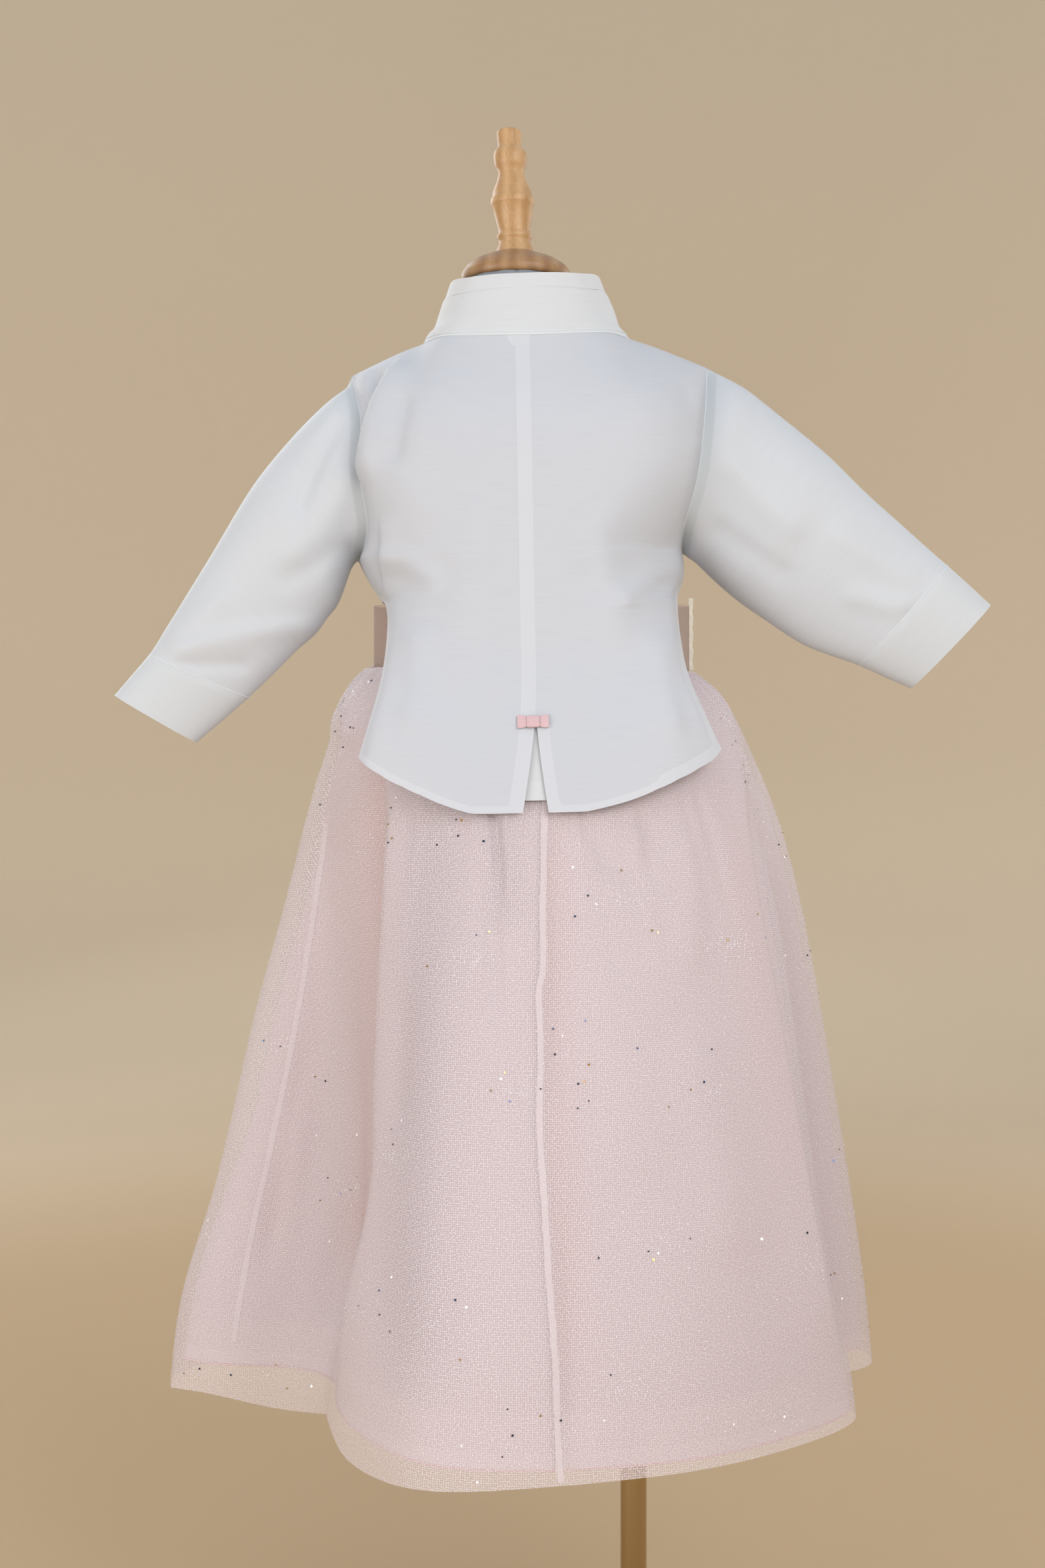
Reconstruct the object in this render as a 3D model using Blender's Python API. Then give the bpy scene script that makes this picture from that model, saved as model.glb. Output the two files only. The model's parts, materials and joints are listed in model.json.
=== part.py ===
"""Child's hanbok on a dress form stand.

A sheer white jacket with a standing collar, open side slits and a vented back hangs over a
pink bodice with a three-layer skirt, on a padded dress form whose brass pole stands off
centre in a round base.  Metres, +Z up, +X to the wearer's left, +Y to the wearer's back.
The origin lies under the base, on the pole's axis.  Every cloth piece is a thin wall.
"""
import math
from bisect import bisect_right
from collections import namedtuple

import bmesh
import bpy
from mathutils import Matrix, Vector

# ------------------------------------------------------------------ driving dimensions
GAP = 0.0003                # between pieces that are sewn together or lie on each other
JACKET_CLOTH = 0.0012
COLLAR_CLOTH = 0.0018
CUFF_CLOTH = 0.0016
SKIRT_CLOTH = 0.0010
BODICE_CLOTH = 0.0012
RIBBON_CLOTH = 0.0012

WORN_X = 0.0785             # the garment's middle, to the wearer's left of the pole
WORN_LEAN = math.radians(1.3)
WAIST = 0.785               # height of the seam between bodice and skirt

NECK_SIDE = 0.585           # where the shoulder meets the neck, as a share of the half-back
NECK_BACK_HEIGHT = 1.0295
NECK_SIDE_HEIGHT = 1.0380
NECK_BACK_DEPTH = 0.062
SHOULDER_TIP_HEIGHT = 1.0150
SHOULDER_ROUND = 0.070      # height over which the shoulder rounds down into the body
UNDERARM = 0.873
SLIT_TOP = 0.842
JACKET_HEM = 0.680          # lowest point of the hem
HEM_RISE = 0.042            # from there up to the pointed corner at the slit
VENT_TOP = 0.7397
VENT_HALF = 0.0088          # half the vent's width at the hem
FRONT_REACH = 0.37          # how far each front crosses the middle, as a share of its half
CROSS_OUT = 0.0050          # how far the upper front stands out over the lower one

SKIRT_X = 0.078
SKIRT_POINTS = 64           # points round the skirt, two for each gather
GATHER_DEPTH = 0.0022
GATHER_FADE = 0.16          # share of the skirt's length over which the gathers fade
SKIRT_ROUND = 1.25          # 1 is an ellipse, 2 comes to a sharp edge at each side seam
BODICE_ROUND = 1.8
WAIST_FADE = 0.12           # share of the length over which the waist's own shape fades
FOLD_END = 0.9              # share of the length at which the folds are fully open
FOLD_GROWTH = 0.62          # below 1 the folds open out early
LINING_INSIDE = 0.0060      # from the organza to the lining, lower down
ORGANZA_HEM = 0.262
LINING_HEM = 0.293

BODICE_HALF = 0.121
BODICE_DEPTH = 0.086
BODICE_BACK_TOP = 0.832
BODICE_SIDE_TOP = 0.8362
BODICE_FRONT_TOP = 0.856
STRAP_WIDTH = 0.020

FORM_NECK_X = 0.0893
FORM_NECK_TOP = 1.0825
FORM_LEAN = math.tan(math.radians(3.0))
FORM_TILT = math.tan(WORN_LEAN)     # its left shoulder stands lower by this slope
FORM_BOTTOM = 0.560

POLE_RADIUS = 0.010
BASE_RADIUS = 0.150
BASE_EDGE = 0.005
HUB_RADIUS = 0.022
HUB_TOP = 0.024
SOCKET_WALL = 0.008
SOCKET_LENGTH = 0.026

# ------------------------------------------------------------------ tables of sections
# The jacket's edge at each height: armhole, then side seam, then slit.
Side = namedtuple("Side", "height left right depth")
SIDES = [
    Side(1.0150, 0.1320, 0.1400, 0.0000),
    Side(0.9950, 0.1270, 0.1375, 0.0230),
    Side(0.9700, 0.1230, 0.1340, 0.0340),
    Side(0.9300, 0.1255, 0.1280, 0.0400),
    Side(0.9040, 0.1195, 0.1215, 0.0360),
    Side(0.8860, 0.1215, 0.1160, 0.0220),
    Side(0.8730, 0.1300, 0.1180, 0.0000),
    Side(0.8580, 0.1230, 0.1190, 0.0000),
    Side(0.8420, 0.1130, 0.1140, 0.0000),
    Side(0.8385, 0.1090, 0.1115, 0.0260),
    Side(0.8340, 0.1070, 0.1105, 0.0350),
    Side(0.8200, 0.1055, 0.1098, 0.0480),
    Side(0.8000, 0.1065, 0.1100, 0.0650),
    Side(0.7780, 0.1090, 0.1125, 0.0790),
    Side(0.7570, 0.1140, 0.1195, 0.0880),
    Side(0.7380, 0.1210, 0.1270, 0.0930),
    Side(0.7220, 0.1255, 0.1345, 0.0950),
]
# How far the jacket's back stands behind the shoulder line.
Depth = namedtuple("Depth", "height depth")
JACKET_DEPTHS = [
    Depth(1.0295, 0.0620), Depth(1.0000, 0.0760), Depth(0.9700, 0.0860), Depth(0.9300, 0.0930),
    Depth(0.8800, 0.0960), Depth(0.8300, 0.0980), Depth(0.7850, 0.1035), Depth(0.7400, 0.1185),
    Depth(0.7000, 0.1300), Depth(0.6780, 0.1355),
]
# The crossed neckline: height of the front's edge at each distance from the middle,
# measured towards that front's own side.
Neckline = namedtuple("Neckline", "across height")
NECKLINE = [
    Neckline(0.079, 1.038), Neckline(0.075, 1.027), Neckline(0.066, 1.005),
    Neckline(0.048, 0.975), Neckline(0.024, 0.945), Neckline(0.000, 0.918),
    Neckline(-0.024, 0.893), Neckline(-0.050, 0.889),
]
# The collar from the middle of the back to its front end: where its lower edge is on the
# neckline, and the step from there to its upper edge (towards the middle, forward, up).
Collar = namedtuple("Collar", "share inward forward up")
COLLAR = [
    Collar(0.00, 0.0000, 0.0110, 0.0370),
    Collar(0.17, 0.0040, 0.0095, 0.0370),
    Collar(0.34, 0.0085, 0.0070, 0.0370),
    Collar(0.47, 0.0125, 0.0040, 0.0370),
    Collar(NECK_SIDE, 0.0145, 0.0000, 0.0370),
]
COLLAR_FRONT = [
    Collar(0.520, 0.0200, 0.0070, 0.0325),
    Collar(0.430, 0.0250, 0.0125, 0.0275),
    Collar(0.330, 0.0285, 0.0125, 0.0240),
    Collar(0.220, 0.0300, 0.0100, 0.0220),
    Collar(0.110, 0.0310, 0.0080, 0.0205),
    Collar(0.000, 0.0310, 0.0070, 0.0205),
    Collar(-0.100, 0.0305, 0.0075, 0.0210),
    Collar(-0.185, 0.0300, 0.0080, 0.0215),
]
OVER_FORWARD = 0.3          # the upper end leans back less, to clear the lower one
CUFF_START = 0.0009         # from the sleeve's end to the cuff, which sits at a slight angle
EDGING_SHARE = 0.31         # the narrow strip's height as a share of the band's
EDGING_INSET = 0.0010

# Sleeves: upper and lower edge of each section, in the garment's own upright frame.
Sleeve = namedtuple("Sleeve", "top_x top_z low_x low_z depth")
LEFT_SLEEVE = [
    Sleeve(0.1320, 1.0150, 0.1300, 0.8730, 0.040),
    Sleeve(0.1428, 1.0012, 0.1351, 0.8690, 0.040),
    Sleeve(0.1662, 0.9813, 0.1400, 0.8570, 0.038),
    Sleeve(0.1892, 0.9568, 0.1464, 0.8410, 0.036),
    Sleeve(0.2081, 0.9343, 0.1535, 0.8325, 0.034),
    Sleeve(0.2245, 0.9096, 0.1640, 0.8210, 0.031),
    Sleeve(0.2409, 0.8830, 0.1791, 0.8062, 0.028),
    Sleeve(0.2599, 0.8538, 0.1950, 0.7905, 0.025),
    Sleeve(0.2789, 0.8244, 0.2075, 0.7790, 0.021),
    Sleeve(0.2918, 0.8056, 0.2164, 0.7707, 0.018),
]
LEFT_CUFF = [
    Sleeve(0.2925, 0.8050, 0.2150, 0.7690, 0.0190),
    Sleeve(0.3191, 0.7752, 0.2569, 0.7374, 0.0150),
]
RIGHT_SLEEVE = [
    Sleeve(0.1400, 1.0150, 0.1180, 0.8730, 0.040),
    Sleeve(0.1598, 1.0035, 0.1230, 0.8697, 0.040),
    Sleeve(0.1746, 0.9937, 0.1290, 0.8655, 0.038),
    Sleeve(0.1931, 0.9782, 0.1431, 0.8510, 0.036),
    Sleeve(0.2209, 0.9549, 0.1600, 0.8360, 0.034),
    Sleeve(0.2394, 0.9374, 0.1711, 0.8277, 0.031),
    Sleeve(0.2578, 0.9181, 0.1820, 0.8200, 0.028),
    Sleeve(0.2763, 0.9008, 0.1987, 0.8082, 0.025),
    Sleeve(0.2948, 0.8836, 0.2173, 0.7976, 0.021),
    Sleeve(0.3208, 0.8600, 0.2510, 0.7850, 0.018),
]
RIGHT_CUFF = [
    Sleeve(0.3215, 0.8600, 0.2505, 0.7830, 0.0190),
    Sleeve(0.3530, 0.8292, 0.2901, 0.7663, 0.0150),
]

# The skirt's reach from its middle at each height.
Reach = namedtuple("Reach", "height left right back front")
REACHES = [
    Reach(0.785, 0.1225, 0.1240, 0.0880, 0.0870),
    Reach(0.764, 0.1406, 0.1490, 0.1020, 0.0990),
    Reach(0.736, 0.1524, 0.1630, 0.1130, 0.1110),
    Reach(0.715, 0.1600, 0.1735, 0.1200, 0.1180),
    Reach(0.671, 0.1718, 0.1920, 0.1320, 0.1310),
    Reach(0.606, 0.1880, 0.2100, 0.1520, 0.1500),
    Reach(0.568, 0.1965, 0.2185, 0.1630, 0.1600),
    Reach(0.508, 0.2165, 0.2290, 0.1810, 0.1760),
    Reach(0.433, 0.2310, 0.2415, 0.2040, 0.1960),
    Reach(0.380, 0.2500, 0.2495, 0.2190, 0.2080),
    Reach(0.314, 0.2715, 0.2600, 0.2370, 0.2230),
    Reach(0.225, 0.2850, 0.2690, 0.2520, 0.2360),
]
# Folds round the hem, clockwise from above: across and behind as shares of the reach there,
# how far the net hangs below the organza, and how far it stands out from it.
Fold = namedtuple("Fold", "place across behind drop stand_off")
FOLDS = [
    Fold("back middle", 0.00, 1.00, 0.009, 0.0040),
    Fold("back left swell", 0.27, 0.94, 0.015, 0.0050),
    Fold("left fold shoulder", 0.44, 0.70, 0.018, 0.0060),
    Fold("left fold edge", 0.515, 0.46, 0.010, 0.0060),
    Fold("left fold hollow", 0.54, 0.24, 0.024, 0.0050),
    Fold("left flute root", 0.66, 0.13, 0.030, 0.0060),
    Fold("left flute face", 0.85, 0.11, 0.020, 0.0080),
    Fold("left flute edge", 0.99, 0.02, 0.020, 0.0100),
    Fold("left flute turn", 0.93, -0.15, 0.018, 0.0080),
    Fold("left front hollow", 0.74, -0.32, 0.018, 0.0060),
    Fold("left front flute", 0.74, -0.58, 0.018, 0.0070),
    Fold("front left hollow", 0.50, -0.64, 0.016, 0.0050),
    Fold("front left flute", 0.36, -0.92, 0.014, 0.0060),
    Fold("front hollow", 0.14, -0.86, 0.012, 0.0045),
    Fold("front flute", -0.08, -1.00, 0.010, 0.0060),
    Fold("front right hollow", -0.30, -0.82, 0.010, 0.0045),
    Fold("front right flute", -0.52, -0.84, 0.012, 0.0060),
    Fold("right front hollow", -0.62, -0.56, 0.014, 0.0050),
    Fold("right front flute", -0.86, -0.46, 0.014, 0.0060),
    Fold("right rear turn", -0.99, -0.26, 0.014, 0.0070),
    Fold("right rear panel", -0.98, -0.09, 0.014, 0.0060),
    Fold("right fold hollow", -0.80, 0.06, 0.014, 0.0045),
    Fold("right fold root", -0.77, 0.25, 0.010, 0.0045),
    Fold("right fold edge", -0.86, 0.46, 0.006, 0.0040),
    Fold("right fold shoulder", -0.74, 0.66, 0.006, 0.0040),
    Fold("back right swell", -0.42, 0.90, 0.006, 0.0035),
]
TULLE_ROWS = [0.0, 0.025, 0.06, 0.12, 0.21, 0.34, 0.50, 0.68, 0.86, 1.0]
LINING_ROWS = [0.0, 0.025, 0.07, 0.16, 0.34, 0.65, 1.0]

# A strap's half, from the top of the form's shoulder down to the bodice: the share of the way
# down, the distance of its middle from the form's, and its clearance from the form.
Strap = namedtuple("Strap", "share middle clear")
STRAP = [
    Strap(0.000, 0.0900, 0.0007), Strap(0.005, 0.0900, 0.0007), Strap(0.020, 0.0897, 0.0008),
    Strap(0.055, 0.0890, 0.0009), Strap(0.120, 0.0870, 0.0010), Strap(0.220, 0.0830, 0.0011),
    Strap(0.360, 0.0770, 0.0013), Strap(0.520, 0.0700, 0.0020), Strap(0.700, 0.0635, 0.0036),
    Strap(0.860, 0.0585, 0.0058), Strap(1.000, 0.0550, 0.0000),
]

# The dress form.
Section = namedtuple("Section", "height half depth")
TORSO = [
    Section(0.5600, 0.0840, 0.0620), Section(0.5640, 0.0930, 0.0710),
    Section(0.5800, 0.1010, 0.0790), Section(0.6200, 0.1060, 0.0830),
    Section(0.6700, 0.1030, 0.0800), Section(0.7200, 0.0950, 0.0740),
    Section(0.7600, 0.0910, 0.0710), Section(0.8000, 0.0920, 0.0710),
    Section(0.8500, 0.0970, 0.0740), Section(0.9000, 0.1040, 0.0760),
    Section(0.9400, 0.1110, 0.0740), Section(0.9700, 0.1165, 0.0670),
    Section(0.9900, 0.1180, 0.0570), Section(1.0020, 0.1165, 0.0490),
    Section(1.0105, 0.1100, 0.0445), Section(1.0165, 0.1010, 0.0425),
    Section(1.0225, 0.0880, 0.0405), Section(1.0270, 0.0770, 0.0395),
    Section(1.0320, 0.0630, 0.0390), Section(1.0400, 0.0510, 0.0395),
    Section(1.0530, 0.0430, 0.0400), Section(1.0680, 0.0405, 0.0405),
    Section(1.0825, 0.0400, 0.0400),
]
TORSO_POINTS = 28
Turned = namedtuple("Turned", "height radius")
CAP = [
    Turned(1.0828, 0.0400), Turned(1.0850, 0.0418), Turned(1.0895, 0.0420), Turned(1.0925, 0.0400),
    Turned(1.0945, 0.0385), Turned(1.0985, 0.0330), Turned(1.1020, 0.0250), Turned(1.1050, 0.0170),
]
FINIAL = [
    Turned(1.1053, 0.0150), Turned(1.1085, 0.0140), Turned(1.1136, 0.0119), Turned(1.1165, 0.0128),
    Turned(1.1180, 0.0136), Turned(1.1200, 0.0128), Turned(1.1240, 0.0120), Turned(1.1330, 0.0140),
    Turned(1.1415, 0.0154), Turned(1.1435, 0.0166), Turned(1.1465, 0.0166), Turned(1.1485, 0.0154),
    Turned(1.1524, 0.0148), Turned(1.1610, 0.0112), Turned(1.1687, 0.0096), Turned(1.1735, 0.0114),
    Turned(1.1789, 0.0128), Turned(1.1845, 0.0112), Turned(1.1876, 0.0092), Turned(1.1985, 0.0092),
    Turned(1.2000, 0.0078),
]
TURNED_POINTS = 20

# Front ribbons and the bow above the vent.
KNOT_X = -0.030
KNOT_Z = 0.875
KNOT_WIDTH = 0.024
KNOT_HEIGHT = 0.026
LOOP_LENGTH = 0.085
LOOP_HEIGHT = 0.024
LOOP_OPEN = 0.012
TAIL_WIDTH = 0.024
TAIL_OUT = 0.0034           # from the front to a tail's outer side
KNOT_SEAT = 0.0006          # from the front to the knot's back, its edge and its middle
KNOT_EDGE = 0.0060
KNOT_OUT = 0.0090
Tail = namedtuple("Tail", "name top_x low_x length")
TAILS = [
    Tail("ribbon_tail_long", -0.0340, -0.0420, 0.175),
    Tail("ribbon_tail_short", -0.0165, -0.0010, 0.150),
]
BOW_WIDTH = 0.022
BOW_HEIGHT = 0.009
BOW_WAIST = 0.0062
BOW_Z = 0.7441
BOW_KNOT = 0.008
BOW_OUT = 0.0016            # from the backs to the bow's outer side
UNDERLAP_HALF = 0.020
UNDERLAP_TOP = 0.752
UNDERLAP_LOW = 0.6885
UNDERLAP_BEHIND = 0.0013    # from the backs to the underlap

X_AXIS, Y_AXIS, Z_AXIS = Vector((1, 0, 0)), Vector((0, 1, 0)), Vector((0, 0, 1))


# ------------------------------------------------------------------ reading the tables
def reader(rows, key, value):
    """A smooth function through two columns of a table, which never overshoots its rows."""
    pairs = sorted((getattr(row, key), getattr(row, value)) for row in rows)
    at = [pair[0] for pair in pairs]
    what = [pair[1] for pair in pairs]
    steps = [(what[i + 1] - what[i]) / (at[i + 1] - at[i]) for i in range(len(at) - 1)]
    slopes = [steps[0]]
    for before, after in zip(steps, steps[1:]):
        slopes.append(2 * before * after / (before + after) if before * after > 0 else 0.0)
    slopes.append(steps[-1])

    def read(place):
        place = min(max(place, at[0]), at[-1])
        i = min(bisect_right(at, place), len(at) - 1) - 1
        width = at[i + 1] - at[i]
        t = (place - at[i]) / width
        start = what[i] * (1 + 2 * t) * (1 - t) ** 2 + slopes[i] * width * t * (1 - t) ** 2
        end = what[i + 1] * t * t * (3 - 2 * t) - slopes[i + 1] * width * t * t * (1 - t)
        return start + end

    return read


def mix(a, b, share):
    return a + (b - a) * share


def ease(share):
    share = min(max(share, 0.0), 1.0)
    return share * share * (3 - 2 * share)


# ------------------------------------------------------------------ building blocks
def material(name, colour, roughness, metallic=0.0):
    made = bpy.data.materials.new(name)
    made.diffuse_color = (*colour, 1)
    made.use_nodes = True
    shader = made.node_tree.nodes["Principled BSDF"]
    shader.inputs["Base Color"].default_value = (*colour, 1)
    shader.inputs["Roughness"].default_value = roughness
    shader.inputs["Metallic"].default_value = metallic
    return made


def add_object(name, mesh_data, finish, smooth=True):
    """Puts a bmesh into the scene as a named object, its faces pointing out."""
    if mesh_data.calc_volume(signed=True) < 0:
        bmesh.ops.reverse_faces(mesh_data, faces=mesh_data.faces)
    mesh = bpy.data.meshes.new(name)
    mesh_data.to_mesh(mesh)
    mesh_data.free()
    if smooth:
        mesh.shade_smooth()
        mesh.set_sharp_from_angle(angle=math.radians(50))
    made = bpy.data.objects.new(name, mesh)
    made.data.materials.append(finish)
    bpy.context.collection.objects.link(made)
    return made


def inset(grid, thickness, loop=False, square=None):
    """The inner side of a wall: each point moves in along the sheet's normal there.

    square(row, column) may give a direction that the move keeps clear of, so that the
    edge of the wall is cut square to it.
    """
    moved = []
    rows, columns = len(grid), len(grid[0])
    for r in range(rows):
        line = []
        for c in range(columns):
            left, right = max(c - 1, 0), min(c + 1, columns - 1)
            if loop:
                left, right = c - 1, (c + 1) % columns
            across = grid[r][right] - grid[r][left]
            down = grid[min(r + 1, rows - 1)][c] - grid[max(r - 1, 0)][c]
            normal = across.cross(down).normalized()
            axis = square(r, c) if square else None
            if axis is not None:
                normal = (normal - axis * normal.dot(axis)).normalized()
            line.append(grid[r][c] - normal * thickness)
        moved.append(line)
    return moved


def wall(name, outer, inner, finish, loop=False, place=None):
    """A closed wall between an outer and an inner grid of points."""
    sheet = bmesh.new()
    rows, columns = len(outer), len(outer[0])
    sides = []
    for grid in (outer, inner):
        sides.append([[sheet.verts.new(place(p) if place else p) for p in row] for row in grid])
    out, into = sides
    last = columns if loop else columns - 1
    for r in range(rows - 1):
        for c in range(last):
            d = (c + 1) % columns
            sheet.faces.new((out[r][c], out[r + 1][c], out[r + 1][d], out[r][d]))
            sheet.faces.new((into[r][c], into[r][d], into[r + 1][d], into[r + 1][c]))
    for c in range(last):
        d = (c + 1) % columns
        sheet.faces.new((out[0][c], out[0][d], into[0][d], into[0][c]))
        sheet.faces.new((out[-1][c], into[-1][c], into[-1][d], out[-1][d]))
    if not loop:
        for r in range(rows - 1):
            sheet.faces.new((out[r][0], into[r][0], into[r + 1][0], out[r + 1][0]))
            sheet.faces.new((out[r][-1], out[r + 1][-1], into[r + 1][-1], into[r][-1]))
    return add_object(name, sheet, finish)


def stack(name, rings, finish):
    """A solid through closed rings of points, flat at both ends."""
    solid = bmesh.new()
    made = [[solid.verts.new(p) for p in ring] for ring in rings]
    for low, high in zip(made, made[1:]):
        for c in range(len(low)):
            d = (c + 1) % len(low)
            solid.faces.new((low[c], low[d], high[d], high[c]))
    solid.faces.new(made[0][::-1])
    solid.faces.new(made[-1])
    return add_object(name, solid, finish)


def circle(x, y, z, radius, points):
    turn = 2 * math.pi / points
    return [Vector((x + radius * math.cos(i * turn), y + radius * math.sin(i * turn), z))
            for i in range(points)]


def worn(point):
    """From the jacket's upright frame to where it hangs, a little askew on the form."""
    about = Vector((WORN_X, 0, WAIST))
    return about + Matrix.Rotation(WORN_LEAN, 3, "Y") @ (point - Vector((0, 0, WAIST)))


# ------------------------------------------------------------------ the jacket's surface
edge_reach = {+1: reader(SIDES, "height", "left"), -1: reader(SIDES, "height", "right")}
edge_depth = reader(SIDES, "height", "depth")
jacket_depth = reader(JACKET_DEPTHS, "height", "depth")
neckline_height = reader(NECKLINE, "across", "height")
MEAN_HALF = 0.130           # the jacket's half width that the neckline's shares go by


def shoulder_height(share):
    """The ridge from the neck to the shoulder's tip."""
    along = (share - NECK_SIDE) / (1 - NECK_SIDE)
    return mix(NECK_SIDE_HEIGHT, SHOULDER_TIP_HEIGHT, along ** 1.15)


def back_top(share):
    if share >= NECK_SIDE:
        return shoulder_height(share)
    return mix(NECK_BACK_HEIGHT, NECK_SIDE_HEIGHT, (share / NECK_SIDE) ** 2)


def front_top(share):
    if share >= NECK_SIDE:
        return shoulder_height(share)
    return neckline_height(share * MEAN_HALF)


def neck_depth(share):
    """How far behind the shoulder line the back's upper edge runs."""
    if share >= NECK_SIDE:
        return 0.0
    return NECK_BACK_DEPTH * math.sqrt(1 - (share / NECK_SIDE) ** 2)


def hem_height(share):
    return JACKET_HEM + HEM_RISE * abs(share) ** 4


def body_depth(share, height, ridge):
    """The jacket's depth at a share of its half width, under a ridge at that height."""
    at_edge = edge_depth(height)
    round_share = math.sqrt(max(1 - abs(share) ** 2.3, 0))
    full = mix(at_edge, jacket_depth(height), round_share)
    under = min(max((ridge - height) / SHOULDER_ROUND, 0), 1)
    return full, math.sqrt(1 - (1 - under) ** 2)


def vent_open(height):
    """Half the opening between the two backs: a seam above, a vent below."""
    return GAP / 2 + VENT_HALF * max(0, (VENT_TOP - height) / (VENT_TOP - JACKET_HEM))


def back_point(side, share, height, out=0.0):
    ridge = back_top(share)
    full, rounded = body_depth(share, height, ridge)
    at_top = neck_depth(share)
    depth = mix(at_top, full, rounded)
    start = vent_open(height)
    x = start + share * (edge_reach[side](height) - start)
    return Vector((side * x, max(depth, GAP / 2) + out, height))


def front_lift(share):
    """The upper front's extra distance where it lies over the lower one."""
    return CROSS_OUT * ease((0.62 - share) / 0.34)


def front_point(side, share, height, out=0.0):
    """share is below 0 past the middle, on the other side's half."""
    near = abs(share)
    ridge = shoulder_height(max(near, NECK_SIDE))
    full, rounded = body_depth(near, height, ridge)
    depth = full * rounded
    if side > 0:
        depth += front_lift(share)
    across = side if share >= 0 else -side
    x = side * share * edge_reach[across](height)
    return Vector((x, -max(depth, GAP / 2) - out, height))


CORNER_HEIGHT = JACKET_HEM + HEM_RISE
ARMHOLE_ROWS = 8            # from the shoulder's tip to the underarm, and half a sleeve's ring
SLEEVE_POINTS = 2 * ARMHOLE_ROWS
ARMHOLE_SHARE = (SHOULDER_TIP_HEIGHT - UNDERARM) / (SHOULDER_TIP_HEIGHT - CORNER_HEIGHT)
SEAM_SHARE = (SHOULDER_TIP_HEIGHT - SLIT_TOP) / (SHOULDER_TIP_HEIGHT - CORNER_HEIGHT)
ROW_SHARES = [ARMHOLE_SHARE * (1 - math.cos(math.pi * i / ARMHOLE_ROWS)) / 2
              for i in range(ARMHOLE_ROWS + 1)]
ROW_SHARES += [(ARMHOLE_SHARE + SEAM_SHARE) / 2, SEAM_SHARE]
LAST_SEAM_ROW = len(ROW_SHARES) - 1
ROW_SHARES += [mix(SEAM_SHARE, 1, t) for t in (0.03, 0.10, 0.25, 0.50, 0.75, 1)]
BACK_SHARES = [row.share for row in COLLAR] + [0.69, 0.80, 0.90, 0.96, 1]
FRONT_SHARES = [1, 0.96, 0.90, 0.80, 0.69, NECK_SIDE]
FRONT_SHARES += [row.share for row in COLLAR_FRONT] + [-0.28, -FRONT_REACH]


def panel_square(columns, side_column, middle_axis, share_of):
    """Cuts a panel's walls square where they meet a sleeve, the other side or the middle."""
    def square(row, column):
        if row == 0 and share_of(column) >= NECK_SIDE:
            return Y_AXIS
        if column == side_column:
            if row < ARMHOLE_ROWS:
                return X_AXIS
            return Y_AXIS if row <= LAST_SEAM_ROW else None
        if middle_axis and column == columns - 1 - side_column:
            return X_AXIS
        return None
    return square


def make_back(name, side, finish):
    shares = BACK_SHARES if side > 0 else BACK_SHARES[::-1]
    side_column = shares.index(1)
    grid = [[back_point(side, s, mix(back_top(s), hem_height(s), t)) for s in shares]
            for t in ROW_SHARES]
    square = panel_square(len(shares), side_column, True, lambda c: shares[c])
    return wall(name, grid, inset(grid, JACKET_CLOTH, square=square), finish, place=worn)


def make_front(name, side, finish):
    shares = FRONT_SHARES if side > 0 else FRONT_SHARES[::-1]
    side_column = shares.index(1)
    rows = []
    for t in ROW_SHARES:
        rows.append([front_point(side, s, mix(front_top(s), hem_height(s), t)) for s in shares])
    square = panel_square(len(shares), side_column, False, lambda c: shares[c])
    return wall(name, rows, inset(rows, JACKET_CLOTH, square=square), finish, place=worn)


# ------------------------------------------------------------------ collar
def collar_pair(seam, step):
    """The collar's two edges at one station: a gap above the neckline, and a step away."""
    low = seam + step.normalized() * GAP * 2
    return low, low + step


def collar_stations():
    """Lower and upper edge of the collar from its under end, round the back, to its over end."""
    halves = {}
    for side in (+1, -1):
        half = []
        for row in COLLAR:
            low = back_point(side, row.share, back_top(row.share))
            if row.share == 0:
                low.x = 0
            half.append(collar_pair(low, Vector((-side * row.inward, -row.forward, row.up))))
        for row in COLLAR_FRONT:
            low = front_point(side, row.share, front_top(row.share))
            forward = row.forward * (OVER_FORWARD if side > 0 and row.share < 0.3 else 1)
            half.append(collar_pair(low, Vector((-side * row.inward, forward, row.up))))
        halves[side] = half
    return halves[-1][:0:-1] + halves[+1]


def make_collar(band_finish, edging_finish):
    stations = collar_stations()
    flat = [0, 0.5, 1]
    band = [[mix(low, high, f) for low, high in stations] for f in reversed(flat)]
    steps = [(high - low).normalized() for low, high in stations]
    inner = inset(band, COLLAR_CLOTH, square=lambda row, column: steps[column])
    wall("collar_band", band, inner, band_finish, place=worn)
    edging = []
    for f in (1 + EDGING_SHARE, 1.0):
        edging.append([mix(low, high, f) + step * 2 * GAP
                       for (low, high), step in zip(stations, steps)])
    edging = inset(edging, EDGING_INSET)
    wall("collar_edging", edging, inset(edging, JACKET_CLOTH), edging_finish, place=worn)


# ------------------------------------------------------------------ sleeves and cuffs
def sleeve_ring(side, row):
    """One section, from its lower edge round the back to its upper edge and on by the front."""
    top = Vector((side * row.top_x, 0, row.top_z))
    low = Vector((side * row.low_x, 0, row.low_z))
    middle, half = (top + low) / 2, (top - low) / 2
    ring = []
    for i in range(SLEEVE_POINTS):
        turn = 2 * math.pi * i / SLEEVE_POINTS
        ring.append(middle - half * math.cos(turn) + Y_AXIS * row.depth * math.sin(turn))
    return ring if side > 0 else ring[::-1]


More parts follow.
